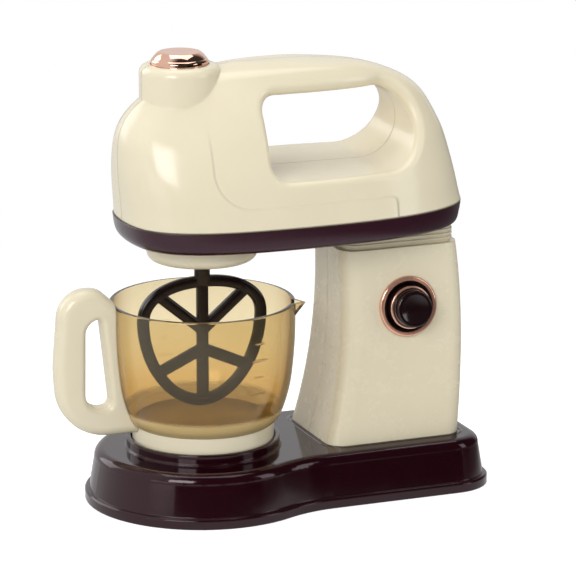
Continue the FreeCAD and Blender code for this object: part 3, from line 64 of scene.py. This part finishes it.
class Graph:
    """Adds and links the nodes of one material."""

    def __init__(self, tree):
        self.tree = tree

    def node(self, kind, inputs=None, **settings):
        item = self.tree.nodes.new(kind)
        for name, value in settings.items():
            setattr(item, name, value)
        for name, value in (inputs or {}).items():
            self.feed(item, name, value)
        return item

    def feed(self, item, name, value):
        socket = item.inputs[name]
        if isinstance(value, bpy.types.NodeSocket):
            self.tree.links.new(value, socket)
        else:
            socket.default_value = value

    def place(self):
        return self.node("ShaderNodeTexCoord").outputs["Object"]

    def axes(self, vector):
        return self.node("ShaderNodeSeparateXYZ", {"Vector": vector}).outputs

    def stretch(self, vector, scale, turn=(0.0, 0.0, 0.0)):
        return self.node("ShaderNodeMapping", {"Vector": vector, "Rotation": turn, "Scale": scale}).outputs[0]

    def math(self, operation, first, second=0.0, third=0.0):
        item = self.node("ShaderNodeMath", operation=operation)
        for index, value in enumerate((first, second, third)):
            self.feed(item, index, value)
        return item.outputs[0]

    def off(self, value, middle):
        """How far a value is from a middle one, to either side."""
        return self.math("ABSOLUTE", self.math("SUBTRACT", value, middle))

    def smooth(self, value, low, high, out_low=0.0, out_high=1.0):
        item = self.node("ShaderNodeMapRange", {"Value": value, "From Min": low, "From Max": high,
                                                "To Min": out_low, "To Max": out_high},
                         interpolation_type="SMOOTHSTEP")
        return item.outputs["Result"]

    def fade(self, value, low, high, left=0.0):
        """1 below the low value, falling to what is left above the high one."""
        return self.smooth(value, low, high, 1.0, left)

    def noise(self, vector, scale, detail=3.0, roughness=0.55):
        item = self.node("ShaderNodeTexNoise", {"Vector": vector, "Scale": scale, "Detail": detail,
                                                "Roughness": roughness})
        return item.outputs["Fac"]

    def mix(self, share, first, second):
        item = self.node("ShaderNodeMix", data_type="RGBA", blend_type="MIX")
        self.feed(item, 0, share)
        self.feed(item, 6, first)
        self.feed(item, 7, second)
        return item.outputs[2]

    def bump(self, height, distance, strength=1.0, normal=None):
        inputs = {"Height": height, "Distance": distance, "Strength": strength}
        if normal is not None:
            inputs["Normal"] = normal
        return self.node("ShaderNodeBump", inputs).outputs["Normal"]

    def mix_shader(self, share, first, second):
        item = self.node("ShaderNodeMixShader", {0: share})
        self.feed(item, 1, first)
        self.feed(item, 2, second)
        return item.outputs[0]

    def surface(self, kind, shader):
        """Links a shader to the output node of its kind."""
        output = self.node(kind)
        self.tree.links.new(shader, output.inputs["Surface"])

    def finish(self, inputs):
        self.surface("ShaderNodeOutputMaterial", self.node("ShaderNodeBsdfPrincipled", inputs).outputs[0])


def linear(red, green, blue):
    """A colour given as a screen shows it, from 0 to 255."""
    channels = []
    for value in (red, green, blue):
        share = value / 255
        channels.append(share / 12.92 if share <= 0.04045 else ((share + 0.055) / 1.055) ** 2.4)
    return (*channels, 1.0)


def material(name):
    item = bpy.data.materials.new(name)
    item.use_nodes = True
    item.node_tree.nodes.clear()
    return item, Graph(item.node_tree)


# Materials

# Painted shade: the colour that seam and gap lines are darkened towards, standing in for the shade inside
# their grooves.
PAINTED_GROOVE_SHADE = linear(70, 58, 44)
FLOW_SCALE, HANDLING_SCALE, PEEL_SCALE = 14.0, 90.0, 420.0
PEEL_HEIGHT = 0.0002
SEAM_INNER, SEAM_OUTER = 0.00005, 0.00022
GAP_INNER, GAP_OUTER, GAP_SHARE = 0.00018, 0.0004, 0.55
LINE_HEIGHT = 0.0003


def moulded(name, colour, shade, roughness, coat=0.25, peel=0.04, edge=0.0006, seam=0.0, gap_z=(),
            relief=(), gloss_tint=(1.0, 1.0, 1.0, 1.0)):
    """Injection-moulded plastic: soft edges, faint flow marks, orange peel and handling marks.

    The seam runs in the middle plane, as strong as its share, and a gap lies at each height in gap_z; both
    are shallow grooves whose colour is darkened with painted shade.
    """
    item, graph = material(name)
    place = graph.place()
    axes = graph.axes(place)
    tint = graph.mix(graph.smooth(graph.noise(place, FLOW_SCALE, 4.0), 0.35, 0.7), colour, shade)
    marks = graph.noise(place, HANDLING_SCALE, 6.0, 0.7)
    gloss = graph.smooth(marks, 0.35, 0.75, roughness * 0.9, roughness * 1.2)
    normal = graph.node("ShaderNodeBevel", {"Radius": edge}, samples=6).outputs[0]
    normal = graph.bump(graph.noise(place, PEEL_SCALE, 2.0), PEEL_HEIGHT, peel, normal)
    shaded_lines = []
    if seam:
        shaded_lines.append((seam, graph.fade(graph.math("ABSOLUTE", axes["Y"]), SEAM_INNER, SEAM_OUTER)))
    for height in gap_z:
        shaded_lines.append((GAP_SHARE, graph.fade(graph.off(axes["Z"], height), GAP_INNER, GAP_OUTER)))
    # Painted shade: each seam and gap line darkens the colour towards the groove shade, and also sinks a
    # shallow groove in the bumps.
    for share, shaded_line in shaded_lines:
        tint = graph.mix(graph.math("MULTIPLY", shaded_line, share), tint, PAINTED_GROOVE_SHADE)
        normal = graph.bump(graph.math("MULTIPLY", shaded_line, -1.0), LINE_HEIGHT, share, normal)
    for form, height in relief:
        normal = graph.bump(form(graph, place, axes), height, 1.0, normal)
    graph.finish({"Base Color": tint, "Roughness": gloss, "Normal": normal, "Coat Weight": coat,
                  "Coat Roughness": 0.05, "IOR": 1.5, "Specular Tint": gloss_tint})
    return item


def round_corner(graph, reach, corner):
    """Distance from a rounded corner, less than 0 inside, from the reach past its two sides' inner lines."""
    squares = []
    for value in reach:
        outside = graph.math("MAXIMUM", value, 0.0)
        squares.append(graph.math("MULTIPLY", outside, outside))
    away = graph.math("SQRT", graph.math("ADD", squares[0], squares[1]))
    inner = graph.math("MINIMUM", graph.math("MAXIMUM", reach[0], reach[1]), 0.0)
    return graph.math("SUBTRACT", graph.math("ADD", away, inner), corner)


def rounded_box(graph, axes, centre, half, corner):
    """Distance in plan from a rectangle with rounded corners, less than 0 inside it."""
    reach = []
    for axis, middle, extent in (("X", centre[0], half[0]), ("Y", centre[1], half[1])):
        reach.append(graph.math("SUBTRACT", graph.off(axes[axis], middle), extent - corner))
    return round_corner(graph, reach, corner)


PANEL_FRONT, PANEL_REAR = -0.0068, 0.0817
PANEL_BOTTOM = 0.1456
PANEL_CORNER = 0.0165
PANEL_REAR_SOFT = 0.006
PANEL_STEP = 0.0008
PANEL_FADE_LOW, PANEL_FADE_HIGH = 0.170, 0.184


def side_panel(graph, place, axes):
    """Height of the shallow panel round the finger hole: 1 on the raised side, 0 in the panel."""
    ahead = graph.math("SUBTRACT", PANEL_FRONT + PANEL_CORNER, axes["X"])
    under = graph.math("SUBTRACT", PANEL_BOTTOM + PANEL_CORNER, axes["Z"])
    behind = graph.math("SUBTRACT", PANEL_REAR, axes["X"])
    distance = graph.math("SMOOTH_MIN", round_corner(graph, (ahead, under), PANEL_CORNER), behind,
                          PANEL_REAR_SOFT)
    step = graph.smooth(distance, -PANEL_STEP, PANEL_STEP)
    return graph.math("MULTIPLY", step, graph.fade(axes["Z"], PANEL_FADE_LOW, PANEL_FADE_HIGH))


SHRINK_STRETCH = (1.0, 1.0, 0.55)
SHRINK_SCALE = 46.0
SHRINK_LOW, SHRINK_HIGH, SHRINK_LEFT = 0.030, 0.075, 0.12


def shrink_marks(graph, place, axes):
    """Slight sinks and creases low on the column, where the moulding is thickest."""
    waves = graph.noise(graph.stretch(place, SHRINK_STRETCH), SHRINK_SCALE, 0.5, 0.3)
    return graph.math("MULTIPLY", waves, graph.fade(axes["Z"], SHRINK_LOW, SHRINK_HIGH, SHRINK_LEFT))


COLUMN_FOOT = {"centre": (0.08735, 0.0), "half": (0.03365, 0.0286), "corner": 0.0085}
BEAD_RISE = (0.0007, 0.0013)
BEAD_FALL = (0.0019, 0.0026)
DECK_LEVEL = (0.0238, 0.0241)


def column_bead(graph, place, axes):
    """The low bead on the deck that runs round the column's foot."""
    away = rounded_box(graph, axes, **COLUMN_FOOT)
    ridge = graph.math("MULTIPLY", graph.smooth(away, *BEAD_RISE), graph.fade(away, *BEAD_FALL))
    return graph.math("MULTIPLY", ridge, graph.smooth(axes["Z"], *DECK_LEVEL))


RIB_PATCH = {"centre": (0.067, 0.0), "half": (0.0045, 0.0085), "corner": 0.002}
RIB_PITCH = 0.0016
RIB_RUNOUT = 0.0004


def door_ribs(graph, place, axes):
    """Finger ribs at one end of the battery door."""
    wave = graph.math("SINE", graph.math("MULTIPLY", axes["X"], 2 * math.pi / RIB_PITCH))
    away = rounded_box(graph, axes, **RIB_PATCH)
    return graph.math("MULTIPLY", wave, graph.fade(away, -RIB_RUNOUT, 0.0))


def plated(name, colour, shade, roughness, metal=1.0):
    """Vacuum-plated plastic: mirror metal with faint waves and dust."""
    item, graph = material(name)
    place = graph.place()
    tint = graph.mix(graph.smooth(graph.noise(place, 60.0, 4.0), 0.3, 0.7), colour, shade)
    dust = graph.smooth(graph.noise(place, 700.0, 5.0, 0.7), 0.45, 0.8, roughness, roughness * 3.0)
    normal = graph.bump(graph.noise(place, 120.0, 2.0), 0.0002, 0.05)
    graph.finish({"Base Color": tint, "Metallic": metal, "Roughness": dust, "Normal": normal})
    return item


def brushed(name, colour, shade, roughness, stretch):
    """Drawn or turned metal with fine lines along one way."""
    item, graph = material(name)
    grain = graph.noise(graph.stretch(graph.place(), stretch), 900.0, 4.0, 0.7)
    tint = graph.mix(graph.smooth(grain, 0.3, 0.7), colour, shade)
    gloss = graph.smooth(grain, 0.3, 0.7, roughness * 0.7, roughness * 1.3)
    normal = graph.bump(grain, 0.0001, 0.15)
    graph.finish({"Base Color": tint, "Metallic": 1.0, "Roughness": gloss, "Normal": normal})
    return item


BOWL_RADIUS = 0.042
MARK_AZIMUTHS = (97.0, -72.0)
MARK_HALF_LENGTHS = {0.058: 0.0042, 0.066: 0.0022, 0.074: 0.0042, 0.082: 0.0022}
MARK_SOFT_END = 0.004
MARK_INNER, MARK_OUTER = 0.00022, 0.0005
MARK_HEIGHT, MARK_SHARE = 0.00015, 0.1


def scale_marks(graph, axes):
    """Short raised lines on the bowl's wall that show how full it is."""
    angle = graph.math("ARCTAN2", axes["Y"], axes["X"])
    total = 0.0
    for height, half in MARK_HALF_LENGTHS.items():
        thick = graph.fade(graph.off(axes["Z"], height), MARK_INNER, MARK_OUTER)
        reach = half / BOWL_RADIUS
        for azimuth in MARK_AZIMUTHS:
            along = graph.off(angle, math.radians(azimuth))
            across = graph.fade(along, reach - MARK_SOFT_END, reach + MARK_SOFT_END)
            total = graph.math("MULTIPLY_ADD", across, thick, total)
    return total


AMBER_HIGH, AMBER_LOW = linear(228, 212, 174), linear(217, 187, 128)
AMBER_SLANT, AMBER_FLOOR, AMBER_MARK = linear(150, 106, 52), linear(246, 220, 160), linear(168, 122, 66)
AMBER_DEPTH = (0.038, 0.078)
BOWL_FLOOR = (0.0425, 0.0455)
WALL_CLEAR, FLOOR_HAZE = 0.97, 0.5
HAIRLINE_TURN, HAIRLINE_STRETCH = (0.3, 0.2, 0.5), (1.0, 1.0, 0.05)


def clear_amber(name):
    """Smoked amber plastic: clear in the walls, deeper low down and on a slant, hazy in the floor."""
    item, graph = material(name)
    place = graph.place()
    axes = graph.axes(place)
    tint = graph.mix(graph.fade(axes["Z"], *AMBER_DEPTH), AMBER_HIGH, AMBER_LOW)
    slant = graph.node("ShaderNodeLayerWeight", {"Blend": 0.4}).outputs["Facing"]
    tint = graph.mix(graph.smooth(slant, 0.25, 0.95, 0.0, 0.9), tint, AMBER_SLANT)
    flat_floor = graph.fade(axes["Z"], *BOWL_FLOOR)
    tint = graph.mix(flat_floor, tint, AMBER_FLOOR)
    clear = graph.math("MULTIPLY_ADD", flat_floor, -FLOOR_HAZE, WALL_CLEAR)
    marks = scale_marks(graph, axes)
    tint = graph.mix(graph.math("MULTIPLY", marks, MARK_SHARE), tint, AMBER_MARK)
    hairlines = graph.noise(graph.stretch(place, HAIRLINE_STRETCH, HAIRLINE_TURN), 900.0, 2.0)
    gloss = graph.math("MULTIPLY_ADD", graph.smooth(hairlines, 0.66, 0.70), 0.10, 0.03)
    normal = graph.bump(graph.noise(place, 30.0, 2.0), 0.0015, 0.05)
    normal = graph.bump(marks, MARK_HEIGHT, 0.5, normal)
    graph.finish({"Base Color": tint, "Roughness": gloss, "Normal": normal, "IOR": 1.40,
                  "Transmission Weight": clear, "Coat Weight": 0.15, "Coat Roughness": 0.02})
    return item


CREAM, CREAM_SHADE = linear(237, 227, 199), linear(234, 223, 194)
WINE, WINE_SHADE = linear(36, 5, 14), linear(31, 4, 12)
WINE_GLOSS = (1.0, 0.82, 0.87, 1.0)
# Heights of the gap lines on the head and the band, drawn as grooves with painted shade.
HEAD_GAP, BAND_GAP = 0.1356, 0.1354

looks = {
    "head": moulded("cream_head", CREAM, CREAM_SHADE, 0.22, seam=0.16, gap_z=(HEAD_GAP,), edge=0.0016,
                    relief=((side_panel, 0.0007),)),
    "cream": moulded("cream_plastic", CREAM, CREAM_SHADE, 0.24, edge=0.001),
    "column": moulded("cream_column", CREAM, CREAM_SHADE, 0.26, seam=0.3, relief=((shrink_marks, 0.0009),)),
    "wine": moulded("wine_plastic", WINE, WINE_SHADE, 0.1, coat=0.12, edge=0.001,
                    relief=((column_bead, 0.0009),), gloss_tint=WINE_GLOSS),
    "wine_matt": moulded("wine_underside", linear(42, 18, 28), linear(36, 14, 22), 0.5, coat=0.0, peel=0.3,
                         relief=((door_ribs, 0.0004),)),
    "band": moulded("aubergine_band", linear(52, 22, 34), linear(46, 19, 30), 0.2, seam=0.5,
                    gap_z=(BAND_GAP,), coat=0.2, gloss_tint=WINE_GLOSS),
    "knob": moulded("knob_plastic", linear(28, 12, 15), linear(22, 9, 12), 0.14, coat=0.4),
    "paddle": moulded("paddle_plastic", linear(24, 12, 14), linear(19, 9, 11), 0.2, coat=0.2),
    "nylon": moulded("white_nylon", linear(236, 234, 226), linear(226, 223, 212), 0.45, coat=0.0, peel=0.2),
    "grey": moulded("inner_plastic", linear(150, 148, 142), linear(138, 136, 130), 0.5, coat=0.0, peel=0.2),
    "cell": moulded("cell_jacket", linear(60, 66, 76), linear(50, 56, 66), 0.3, coat=0.3),
    "copper": plated("rose_copper", linear(252, 206, 184), linear(248, 196, 172), 0.06),
    "ring": plated("copper_ring", linear(255, 208, 184), linear(252, 198, 172), 0.1, metal=0.72),
    "steel": brushed("zinc_steel", linear(206, 206, 208), linear(186, 187, 190), 0.3, (1.0, 1.0, 6.0)),
    "can": brushed("motor_can", linear(200, 200, 202), linear(184, 184, 186), 0.28, (6.0, 6.0, 0.6)),
    "brass": brushed("turned_brass", linear(214, 180, 104), linear(196, 160, 88), 0.25, (1.0, 1.0, 8.0)),
    "amber": clear_amber("amber_clear"),
}

NODES_OF_LOOK = {
    "head": ("head_near_shell", "head_far_shell"),
    "cream": ("neck_collar", "bowl_foot", "bowl_handle", "gearbox_cup"),
    "column": ("column_near_shell", "column_far_shell"),
    "wine": ("base_shell",),
    "wine_matt": ("base_cover", "battery_door"),
    "band": ("trim_band_near", "trim_band_far"),
    "knob": ("switch_cup", "start_button"),
    "paddle": ("spindle",),
    "nylon": ("drive_gear",),
    "grey": ("battery_box", "switch_block", "motor_bracket", "top_button_guide"),
    "cell": ("battery_near", "battery_far"),
    "copper": ("top_button",),
    "ring": ("bezel_ring", "button_trim_ring"),
    "steel": ("base_screws", "column_screws", "hinge_pin"),
    "can": ("motor",),
    "brass": ("motor_pinion",),
    "amber": ("bowl",),
}

for look, names in NODES_OF_LOOK.items():
    for name in names:
        slots = nodes[name].data.materials
        slots.clear()
        slots.append(looks[look])


# Mesh helpers

def round_angles(steps):
    """Angles once round, the first one not repeated at the end."""
    return [2 * math.pi * index / steps for index in range(steps)]


def bar_section(width, thick, corner, steps=4):
    """Outline of a bar across its length: a rectangle with rounded corners, as (across, deep) pairs."""
    points = []
    for index, (side, face) in enumerate(((1, 1), (-1, 1), (-1, -1), (1, -1))):
        for step in range(steps + 1):
            angle = math.radians(90 * (index + step / steps))
            points.append((side * (width / 2 - corner) + corner * math.cos(angle),
                           face * (thick / 2 - corner) + corner * math.sin(angle)))
    return points


def skin(mesh, rings, closed):
    """Faces between rings of points: round in a loop when closed, else with flat ends."""
    rows = [[mesh.verts.new(point) for point in ring] for ring in rings]
    count = len(rows)
    for index in range(count if closed else count - 1):
        here = rows[index]
        ahead = rows[(index + 1) % count]
        for spot in range(len(here)):
            following = (spot + 1) % len(here)
            mesh.faces.new((here[spot], here[following], ahead[following], ahead[spot]))
    if not closed:
        mesh.faces.new(rows[0])
        mesh.faces.new(list(reversed(rows[-1])))


def straight_bar(mesh, start, end, width, thick, corner):
    along = (end - start).normalized()
    across = Vector((0, 1, 0)).cross(along)
    rings = []
    for spot in (start, end):
        rings.append([spot + across * a + Vector((0, d, 0)) for a, d in bar_section(width, thick, corner)])
    skin(mesh, rings, closed=False)


def make_piece(name, mesh, look, body, sharp):
    """Turns a mesh into a smooth-shaded piece on a body, with edges sharper than the angle kept."""
    bmesh.ops.recalc_face_normals(mesh, faces=mesh.faces)
    data = bpy.data.meshes.new(name)
    mesh.to_mesh(data)
    mesh.free()
    for face in data.polygons:
        face.use_smooth = True
    data.set_sharp_from_angle(angle=math.radians(sharp))
    data.materials.append(looks[look])
    piece = bpy.data.objects.new(name, data)
    bpy.context.scene.collection.objects.link(piece)
    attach(piece, body)
    return piece


# Paddle with rounded bars, in the form of the solid one. Its sizes are in millimetres.

BAR_WIDTH = 5.4
RIM_THICK, RIM_CORNER = 4.2, 1.3
RIM_HALF_WIDTH = 31.8
RIM_MIDDLE = 86.0  # height of the rim's widest place
RIM_ABOVE = (20.0, 2.25)  # rise over that place, and how full the curve is
RIM_BELOW = (42.4, 1.92)
RIM_STEPS = 144
POST_THICK, SPOKE_THICK, BAR_CORNER = 4.0, 3.9, 1.2
POST_BOTTOM, POST_TOP = 46.0, 104.0
SPOKES = ((80.0, 40.0, 28.4), (71.0, -24.0, 24.2))  # height on the post, rise in degrees, reach
SHAFT = ((2.0, 100.8), (3.1, 101.2), (3.7, 102.4), (3.7, 113.4), (3.3, 113.8), (1.5, 113.8),
         (1.5, 116.0))  # radius and height
SHAFT_STEPS = 48


def power_curve(value, power):
    return math.copysign(abs(value) ** (2 / power), value)


def rim_point(angle, inset):
    """A point of the paddle's oval rim, moved in by inset: fuller above its widest place than below."""
    across = math.cos(angle)
    up = math.sin(angle)
    reach, power = RIM_ABOVE if up >= 0 else RIM_BELOW
    x = (RIM_HALF_WIDTH - inset) * power_curve(across, power)
    return Vector((x, 0.0, RIM_MIDDLE + (reach - inset) * power_curve(up, power))) * MM


def dressed_paddle():
    mesh = bmesh.new()
    section = bar_section(BAR_WIDTH * MM, RIM_THICK * MM, RIM_CORNER * MM)
    rings = []
    for angle in round_angles(RIM_STEPS):
        outer = rim_point(angle, 0.0)
        inner = rim_point(angle, BAR_WIDTH)
        middle = (outer + inner) / 2
        half = (outer - inner) / (BAR_WIDTH * MM)
        rings.append([middle + half * across + Vector((0, deep, 0)) for across, deep in section])
    skin(mesh, rings, closed=True)
    straight_bar(mesh, Vector((0, 0, POST_BOTTOM)) * MM, Vector((0, 0, POST_TOP)) * MM,
                 BAR_WIDTH * MM, POST_THICK * MM, BAR_CORNER * MM)
    for side in (-1, 1):
        for height, rise, reach in SPOKES:
            turn = math.radians(rise)
            start = Vector((0, 0, height)) * MM
            end = start + Vector((side * math.cos(turn), 0, math.sin(turn))) * reach * MM
            straight_bar(mesh, start, end, BAR_WIDTH * MM, SPOKE_THICK * MM, BAR_CORNER * MM)
    rings = []
    for radius, height in SHAFT:
        rings.append([Vector((radius * math.cos(angle), radius * math.sin(angle), height)) * MM
                      for angle in round_angles(SHAFT_STEPS)])
    skin(mesh, rings, closed=False)
    piece = make_piece("paddle_bars", mesh, "paddle", "beater", sharp=40.0)
    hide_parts("paddle")


dressed_paddle()


# Button springs, each coiled along the way its button goes in

STEPS_PER_TURN, WIRE_SIDES = 28, 8


def pressed_spring(node, joint_name, body):
    """A compression spring in the form of the solid one, standing on its fixed end."""
    joint = next(item for item in frame["joints"] if item["name"] == joint_name)
    into = Vector(joint["axis"]).normalized()
    length, radius, wire, turns = 9.0 * MM, 4.0 * MM, 0.8 * MM, 4
    low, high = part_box(node)
    foot = (low + high) / 2 + into * length / 2
    side = Vector((1, 0, 0))
    other = into.cross(side)
    mesh = bmesh.new()
    rings = []
    steps = turns * STEPS_PER_TURN
    for step in range(steps + 1):
        angle = 2 * math.pi * turns * step / steps
        out = side * math.cos(angle) + other * math.sin(angle)
        centre = foot - into * (wire / 2 + (length - wire) * step / steps) + out * radius
        rings.append([centre + (out * math.cos(turn) - into * math.sin(turn)) * wire / 2
                      for turn in round_angles(WIRE_SIDES)])
    skin(mesh, rings, closed=False)
    piece = make_piece(node + "_coil", mesh, "steel", body, sharp=60.0)
    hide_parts(node)
    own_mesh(piece)


pressed_spring("button_spring", "round_button_press", "base")
pressed_spring("top_button_spring", "top_button_press", "head")


# Floor, light and camera

WHITE = (1, 1, 1, 1)
ROOM_TURN = -0.6  # the room's bright side lies behind the toy and to its left
FLOOR_REACH, FLOOR_DROP = 6.0, 0.0002
PAPER, PAPER_SHADE, BOUNCE = linear(238, 238, 238), linear(242, 242, 242), linear(212, 212, 212)
PAPER_GLOW = 0.55
SHADOW_REACH = (0.22, 0.5)
FLOOR_MIRROR = (-0.62, -0.16, 0.03, 0.72)
SHADED_SIDE = (0.12, 0.24, 0.22)
ROOM_MIRROR = (-0.3, 0.3, 0.035, 0.74)
ROOM_LIGHT = 0.5


def ray_kinds(graph):
    """Shares of 1 or 0: the ray that sees the room straight or through the bowl, and the mirrored one."""
    ray = graph.node("ShaderNodeLightPath").outputs
    in_gloss = graph.math("GREATER_THAN", ray["Glossy Depth"], 0.5)
    unmirrored = graph.math("SUBTRACT", 1.0, in_gloss)
    through = graph.math("MULTIPLY", ray["Is Transmission Ray"], unmirrored)
    seen = graph.math("MAXIMUM", ray["Is Camera Ray"], through)
    return seen, graph.math("MAXIMUM", ray["Is Glossy Ray"], in_gloss)


def room_slope(graph, axes):
    return graph.math("MULTIPLY_ADD", axes["X"], ROOM_TURN, axes["Y"])


def shone(graph, kind, strength):
    return graph.node(kind, {"Color": WHITE, "Strength": strength}).outputs[0]


def studio_floor():
    """Pale floor that reads as white to the camera and keeps the toy's shadow. In the toy's own gloss it
    falls off towards the dark side of the room and in the toy's shade."""
    corners = [(-FLOOR_REACH, -FLOOR_REACH, -FLOOR_DROP), (FLOOR_REACH, -FLOOR_REACH, -FLOOR_DROP),
               (FLOOR_REACH, FLOOR_REACH, -FLOOR_DROP), (-FLOOR_REACH, FLOOR_REACH, -FLOOR_DROP)]
    mesh = bpy.data.meshes.new("floor")
    mesh.from_pydata(corners, [], [(0, 1, 2, 3)])
    floor = bpy.data.objects.new("floor", mesh)
    bpy.context.scene.collection.objects.link(floor)
    item, graph = material("studio_floor")
    place = graph.node("ShaderNodeNewGeometry").outputs["Position"]
    axes = graph.axes(place)
    away = graph.node("ShaderNodeVectorMath", {0: place}, operation="LENGTH").outputs["Value"]
    paper = graph.mix(graph.noise(place, 40.0), PAPER, PAPER_SHADE)
    lit = graph.node("ShaderNodeAddShader")
    graph.feed(lit, 0, graph.node("ShaderNodeBsdfDiffuse", {"Color": paper}).outputs[0])
    graph.feed(lit, 1, shone(graph, "ShaderNodeEmission", PAPER_GLOW))
    bright = graph.mix_shader(graph.smooth(away, *SHADOW_REACH), lit.outputs[0],
                              shone(graph, "ShaderNodeEmission", 1.0))
    mirror_level = graph.math("MULTIPLY", graph.smooth(room_slope(graph, axes), *FLOOR_MIRROR),
                              graph.fade(axes["X"], *SHADED_SIDE))
    seen, in_gloss = ray_kinds(graph)
    bounce = graph.node("ShaderNodeBsdfDiffuse", {"Color": BOUNCE}).outputs[0]
    plain = graph.mix_shader(in_gloss, bounce, shone(graph, "ShaderNodeEmission", mirror_level))
    graph.surface("ShaderNodeOutputMaterial", graph.mix_shader(seen, plain, bright))
    mesh.materials.append(item)


def studio_world():
    """White backdrop behind the toy and a dim room in front of it, for what the gloss mirrors."""
    world = bpy.data.worlds.new("studio")
    bpy.context.scene.world = world
    world.use_nodes = True
    world.node_tree.nodes.clear()
    graph = Graph(world.node_tree)
    seen, in_gloss = ray_kinds(graph)
    axes = graph.axes(graph.node("ShaderNodeTexCoord").outputs["Generated"])
    mirror_level = graph.smooth(room_slope(graph, axes), *ROOM_MIRROR)
    unseen = graph.mix_shader(in_gloss, shone(graph, "ShaderNodeBackground", ROOM_LIGHT),
                              shone(graph, "ShaderNodeBackground", mirror_level))
    sky = graph.mix_shader(seen, unseen, shone(graph, "ShaderNodeBackground", 1.0))
    graph.surface("ShaderNodeOutputWorld", sky)


# Each lamp's name, place, target, width, height and power in watts.
SOFT_BOXES = (
    ("key", (-1.02, -1.06, 0.82), (0.03, 0, 0.1), 0.75, 0.75, 11.0),
    ("fill", (1.2, -1.0, 0.55), (0.05, 0, 0.1), 0.45, 1.1, 3.0),
    ("top", (0.1, 0.1, 1.3), (0.04, 0, 0.1), 1.1, 0.8, 4.8),
    ("low", (-1.32, -0.70, 0.17), (0.0, 0, 0.03), 0.7, 0.3, 0.7),
    ("rear", (-0.8, 1.2, 0.7), (0.05, 0, 0.1), 0.8, 1.0, 4.0),
)


def soft_box(name, spot, target, width, height, power):
    light = bpy.data.lights.new(name, "AREA")
    light.shape = "RECTANGLE"
    light.size = width
    light.size_y = height
    light.energy = power
    lamp = bpy.data.objects.new(name, light)
    lamp.location = spot
    lamp.rotation_euler = (Vector(target) - Vector(spot)).to_track_quat("-Z", "Y").to_euler()
    bpy.context.scene.collection.objects.link(lamp)


VIEW_AZIMUTH, VIEW_ELEVATION = -21.65, 14.58
VIEW_TARGET, VIEW_DISTANCE = (0.043, 0.0, 0.0951), 1.687
FOCAL_PIXELS, PICTURE_HEIGHT = 3590.0, 579.0
SENSOR_HEIGHT = 36.0


def camera():
    azimuth = math.radians(VIEW_AZIMUTH)
    elevation = math.radians(VIEW_ELEVATION)
    back = Vector((math.sin(azimuth) * math.cos(elevation), -math.cos(azimuth) * math.cos(elevation),
                   math.sin(elevation)))
    data = bpy.data.cameras.new("camera")
    data.sensor_fit = "VERTICAL"
    data.sensor_height = SENSOR_HEIGHT
    data.lens = FOCAL_PIXELS / PICTURE_HEIGHT * SENSOR_HEIGHT
    eye = bpy.data.objects.new("camera", data)
    eye.location = Vector(VIEW_TARGET) + back * VIEW_DISTANCE
    eye.rotation_euler = back.to_track_quat("Z", "Y").to_euler()
    bpy.context.scene.collection.objects.link(eye)
    bpy.context.scene.camera = eye


studio_floor()
studio_world()
for settings in SOFT_BOXES:
    soft_box(*settings)
camera()

bpy.context.scene.view_settings.view_transform = "Standard"
